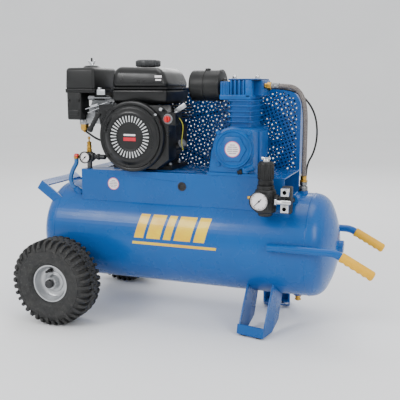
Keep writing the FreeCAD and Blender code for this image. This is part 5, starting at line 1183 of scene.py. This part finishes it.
for side, way in ((-1, "-y"), (1, "y")):
    addSpin(bm, [(0, 0), (13, 0), (13, 6), (12, 8.4), (9.4, 9.8), (5, 10.2), (4, 9.2), (0, 9.2)],
            (span("axle_mounts")[0].x + 32, side * 279.6, 130.75), way, 44)
finishPiece(bm, "axleCaps", darkSteel)

# discharge line: braided hose between a brass nut and a steel tee on the tank
line = {"headEnd": (240, 0, 711), "tee": (362, 0, 404), "hoseRadius": 7.25, "tubeRadius": 2.8,
        "nipple": (240, 45, 704)}
bm = bmesh.new()
start = Vector(line["headEnd"])
addSpin(bm, softRod(8, 9, 0.8), start, "x", 28)
addHex(bm, 21, 13, start + Vector((8, 0, 0)), "x", 1.4)
finishPiece(bm, "hoseBrassNut", yellowBrass, "hose_fittings")
bm = bmesh.new()
addSpin(bm, [(7.4, 0), (9.2, 0), (9.6, 1.5), (9.6, 8), (9.0, 9.5), (9.0, 12), (9.6, 13.5), (9.6, 21),
             (9.0, 24), (7.4, 24)], start + Vector((20, 0, 0)), "x", 36, closed=True)
tee = Vector(line["tee"])
addSpin(bm, [(0, -6), (8, -6), (8, 3), (12.6, 3.4), (13, 5), (13, 15), (12, 17), (9, 17.6), (9, 22),
             (0, 22)], tee, "z", 32)
addHex(bm, 21, 10, tee + Vector((0, 0, 20)), "z", 1.2)
finishPiece(bm, "hoseSteelFerrules", turnedSteel)
bm = bmesh.new()
addSpin(bm, [(0, 30), (11, 30), (11, 34), (9.4, 35), (9.4, 46), (10.4, 48), (0, 48)], tee, "z", 32)
addSpin(bm, softRod(6, 17, 1), tee + Vector((2, 2, 26)), "y", 24)
addHex(bm, 10, 7, tee + Vector((4, 16, 27)), "z", 0.8)
finishPiece(bm, "hoseBrassTee", yellowBrass)

# routes of the two free lines, between the head and the tank's tee; each ends inside its fittings
hosePoints = [(276, 0, 711), (294, 0, 711), (328, 0, 708), (352, 0, 684), (362, 0, 640), (363, 0, 575),
              (362.5, 0, 515), (362, 0, 474), (362, 0, 452)]
unloaderPoints = [(250, 45, 704), (290, 45, 704), (345, 38, 686), (384, 30, 638), (396, 22, 576),
                  (388, 17, 520), (366, 16, 482), (366, 16, 442)]
dischargeHose = wire("dischargeHoseBraid", hosePoints, line["hoseRadius"], steelBraid, "discharge_hose")
unloaderTube = wire("unloaderTubeBlack", unloaderPoints, line["tubeRadius"], blackPlastic, "unloader_tube")
bm = bmesh.new()
addHex(bm, 12, 10, line["nipple"], "x", 0.8)
finishPiece(bm, "unloaderBrassNipple", yellowBrass)

# regulator: ribbed knob, bonnet, body, bowl; gauge on its face
regulator = {"at": (286, -150, 404), "bodyRibs": 16, "gaugeRib": 12, "knobRibs": 20, "knobRise": 38}
regAt = Vector(regulator["at"])
bm = bmesh.new()
addSpin(bm, [(0, -49), (16, -49), (20, -46), (20, -39), (26, -38), (29, -35), (29, -12), (27.6, -10),
             (27.6, -6), (29, -4), (29, 22), (27, 26), (24, 27), (24, 37), (22, 38),
             (0, 38)], regAt, "z", 64)
rib = bmesh.new()
addBox(rib, (26, -1.8, -32), (30.6, 1.8, 20), 1.2, 2)
bodyTurns = turnsAbout(Matrix.Translation(regAt), regulator["bodyRibs"])
del bodyTurns[regulator["gaugeRib"]]
addArray(bm, rib, bodyTurns)
addSpin(bm, softRod(13.6, 22, 1.2), regAt + Vector((16, 0, 0)), "x", 36)
addRod(bm, 7, 12, regAt + Vector((-5, -26, 0)), "-y")
addRod(bm, 5.9, 40, regAt + Vector((0, 0, 30)), "z")
finishPiece(bm, "regulatorBodyCasting", blackCasting, "regulator_body", smooth=38)
bm = bmesh.new()
addHex(bm, 12, 9, regAt + Vector((-40, 0, 0)), "x", 0.8)
addRod(bm, 5, 12, regAt + Vector((-51, 0, 0)), "x")
finishPiece(bm, "regulatorBrassPlug", yellowBrass)
bm = bmesh.new()
knobBase = regAt + Vector((0, 0, regulator["knobRise"]))
addSpin(bm, [(6.1, 1), (21, 0.4), (22, 2), (22, 11), (20.4, 12.4), (20.4, 15), (21.6, 16.4), (21.8, 58),
             (20.4, 63), (17, 65.6), (12, 66), (6.1, 66)], knobBase, "z", 72, closed=True)
rib = bmesh.new()
addBox(rib, (19, -1.5, 17), (23, 1.5, 60), 0.9, 1)
addArray(bm, rib, turnsAbout(Matrix.Translation(knobBase), regulator["knobRibs"]))
finishPiece(bm, "regulatorRibbedKnob", blackPlastic, "regulator_knob", smooth=38)
bm = bmesh.new()
addSpin(bm, [(0, 64), (9.6, 64), (9.6, 70), (8.6, 72), (6, 73.5), (0, 73.5)], knobBase, "z", 32)
addBox(bm, (-13, -3.4, 71), (13, 3.4, 77.5), 1.8, 2, Matrix.Translation(knobBase))
finishPiece(bm, "regulatorKnobCap", chromePlate, body="regulator_knob")


def addGauge(name, at, radius, depth, ticks, pointerNode, caseNode=None):
    # pressed case with a rolled bezel, printed dial, pointer; at is the middle of its back
    bm = bmesh.new()
    addSpin(bm, [(0, 0), (radius - 3, 0), (radius - 1, 1.4), (radius - 1, depth - 5), (radius, depth - 4),
                 (radius, depth - 1), (radius - 1, depth), (radius - 2.4, depth - 0.6),
                 (radius - 2.6, depth - 4.8), (0, depth - 4.8)], at, "-y", 72)
    addSpin(bm, softRod(1.4, 2.6, 0.3), at + Vector((0, -depth + 4.9, 0)), "-y", 16)
    finishPiece(bm, name + "Case", blackPlastic, caseNode)
    bm = bmesh.new()
    addSpin(bm, [(1.5, depth - 4.9), (radius - 2.5, depth - 4.9), (radius - 2.5, depth - 4.3),
                 (1.5, depth - 4.3)], at, "-y", 72, closed=True)
    finishPiece(bm, name + "Dial", whiteVinyl)
    bm = bmesh.new()
    tick = bmesh.new()
    addBox(tick, (radius * 0.68, -radius * 0.022, depth - 4.5),
           (radius * 0.82, radius * 0.022, depth - 4.1))
    short = bmesh.new()
    addBox(short, (radius * 0.75, -radius * 0.012, depth - 4.5),
           (radius * 0.82, radius * 0.012, depth - 4.1))
    place = lineUp(at, "-y")
    span270 = [math.radians(-225 + 270 * step / (ticks - 1)) for step in range(ticks)]
    addArray(bm, tick, [place @ Matrix.Rotation(-angle + math.pi, 4, "Z") for angle in span270])
    fine = [math.radians(-225 + 270 * step / ((ticks - 1) * 5)) for step in range((ticks - 1) * 5 + 1)]
    addArray(bm, short, [place @ Matrix.Rotation(-angle + math.pi, 4, "Z") for angle in fine])
    arc = [(radius * 0.84, depth - 4.4), (radius * 0.86, depth - 4.4), (radius * 0.86, depth - 4.15),
           (radius * 0.84, depth - 4.15)]
    addSpin(bm, arc, at, "-y", 72, closed=True)
    finishPiece(bm, name + "Scale", blackInk)
    bm = bmesh.new()
    pointer = [(-1.0, -radius * 0.34), (1.0, -radius * 0.34), (1.3, 0), (0.4, radius * 0.76),
               (-0.4, radius * 0.76), (-1.3, 0)]
    # the pointer rests at the low end of the scale
    turn = Matrix.Translation(at + Vector((0, -depth + 3.9, 0))) @ Matrix.Rotation(math.pi / 2, 4, "X") \
        @ Matrix.Rotation(math.radians(135), 4, "Z")
    pressOut(bm, pointer, 0.7, 0, 1, turn)
    addSpin(bm, [(0, 0), (2.6, 0), (2.6, 1.1), (0, 1.3)], at + Vector((0, -depth + 3.9, 0)), "-y", 24)
    finishPiece(bm, name + "Pointer", blackInk, pointerNode)


addGauge("regulatorGauge", regAt + Vector((-5, -36, 0)), 27, 20, 9, "regulator_needle", "gauge_cases")
addGauge("tankGauge", Vector((-303, -97, 492)), 18.5, 15, 7, "tank_needle")

# outlet manifold with two bright quick couplers and a bar handle
manifold = {"x": 347, "levels": (429, 384), "front": -160, "barAt": (323, -194.5, 404)}
bm = bmesh.new()
addBox(bm, (333, -160, 366), (361, -136, 442), 4, 3)
addBox(bm, (316, -158, 395), (336, -142, 413), 3, 3)
addRod(bm, 8, 92, (manifold["x"], -142, 392), "y")
for level in manifold["levels"]:
    addSpin(bm, [(5.7, 0), (12.6, 0), (12.6, 4), (11, 5.5), (11, 12), (5.7, 12)],
            (manifold["x"], manifold["front"], level), "-y", 40, closed=True)
addRod(bm, 5, 38, (manifold["x"], -158, 404), "-y")
finishPiece(bm, "outletManifoldCasting", blackCasting, "outlet_manifold", smooth=38)
bm = bmesh.new()
for level in manifold["levels"]:
    # four walls round each square socket
    for low, high in (((-11, -11), (-5.6, 11)), ((5.6, -11), (11, 11)),
                      ((-5.8, -11), (5.8, -5.6)), ((-5.8, 5.6), (5.8, 11))):
        addBox(bm, (manifold["x"] + low[0], -184, level + low[1]),
               (manifold["x"] + high[0], -171, level + high[1]), 0.7, 1)
    addSpin(bm, [(5.7, 0), (8.2, 0), (8.6, 1.4), (8.2, 2.6), (5.7, 2.8)], (manifold["x"], -183.4, level),
            "-y", 36, closed=True)
finishPiece(bm, "outletQuickCouplers", chromePlate)
bm = bmesh.new()
addSpin(bm, [(0, 0), (7.5, 0), (9, 1.2), (9, 4.8), (7.5, 6), (6, 6.4), (6, 13), (6.4, 14), (6.4, 34),
             (6, 35), (6, 41), (5, 43.4), (3, 44), (0, 44)], manifold["barAt"], "x", 40)
finishPiece(bm, "outletValveBar", chromePlate, "valve_handle")

# wheel-end fittings: cast cross, relief valve, plug and tube nuts
pilotAt = Vector((-303, -78, 492))
bm = bmesh.new()
addBox(bm, pilotAt - Vector((11, 11, 11)), pilotAt + Vector((11, 11, 11)), 4, 4)
addSpin(bm, [(0, 8), (12, 8), (13, 9.5), (13, 15), (12, 16.5), (0, 16.5)], pilotAt, "x", 32)
addSpin(bm, [(0, 8), (11.4, 8), (12.2, 9.4), (12.2, 13), (11.4, 14.4), (0, 14.4)], pilotAt, "z", 32)
addSpin(bm, [(0, 8), (11.4, 8), (12.2, 9.4), (12.2, 13), (11.4, 14.4), (0, 14.4)], pilotAt, "-x", 32)
addSpin(bm, [(0, 8), (12, 8), (13, 9.5), (13, 14.5), (12, 16), (8, 16), (8, 116), (0, 116)],
        pilotAt, "-z", 32)
addRod(bm, 5, 12, pilotAt + Vector((0, -8, 0)), "-y")
finishPiece(bm, "pilotCrossFitting", castIron, "pilot_fittings", smooth=38)
bm = bmesh.new()
addHex(bm, 15, 12, pilotAt + Vector((0, 0, 14)), "z", 1)
addSpin(bm, [(2.6, 26), (6.8, 26), (7.6, 28), (7.6, 36), (6.4, 37.4), (6.4, 40), (7.4, 41.4), (7.4, 45),
             (5, 47), (2.6, 47)], pilotAt, "z", 32, closed=True)
finishPiece(bm, "reliefValveBody", yellowBrass)
bm = bmesh.new()
addRod(bm, 2.4, 23, pilotAt + Vector((0, 0, 38)), "z", 0.5, 20)
addSpin(bm, [(3.6, -1.1), (4.6, -1.1), (5.2, 0), (4.6, 1.1), (3.6, 1.1)], pilotAt + Vector((0, 0, 58.5)),
        "y", 24, closed=True)
finishPiece(bm, "reliefPullRing", yellowBrass, "relief_stem")
bm = bmesh.new()
addSpin(bm, softRod(7.6, 14, 1), pilotAt + Vector((14, 0, 0)), "x", 28)
addHex(bm, 18, 9, pilotAt + Vector((28, 0, 0)), "x", 1.2)
addSpin(bm, softRod(7.8, 20, 2), pilotAt + Vector((37, 0, 0)), "x", 28)
finishPiece(bm, "pilotCheckFitting", darkSteel)
bm = bmesh.new()
addRod(bm, 6.2, 16, pilotAt + Vector((-12, 0, 0)), "-x")
addHex(bm, 13, 9, pilotAt + Vector((-26, 0, 0)), "-x", 0.8)
addHex(bm, 15, 10, pilotAt + Vector((-47.5, 0, -9)), "z", 0.8)
finishPiece(bm, "pilotBrassNuts", yellowBrass)
bm = bmesh.new()
addSpin(bm, softRod(7.6, 13, 1.6), pilotAt + Vector((-40, 0, 0)), "-x", 28)
finishPiece(bm, "pilotRedCap", redPlastic)
copyNode("pilot_tube", blueTubing)

# drain cock under the handle end
cockLow, cockHigh = span("drain_cock")
cockAt = Vector(((cockLow.x + cockHigh.x) / 2, (cockLow.y + cockHigh.y) / 2, cockLow.z))
bm = bmesh.new()
addRod(bm, 6.6, 10, cockAt, "z")
addHex(bm, 17, 8, cockAt + Vector((0, 0, 10)), "z", 1)
addRod(bm, 7.9, 14, cockAt + Vector((0, 0, 18)), "z")
addBox(bm, cockAt + Vector((-9.4, -1.6, 0.6)), cockAt + Vector((9.4, 1.6, 7)), 1.2, 2)
finishPiece(bm, "drainCockBrass", yellowBrass, "drain_cock")
print("pump, air lines and fittings")

print("finished")
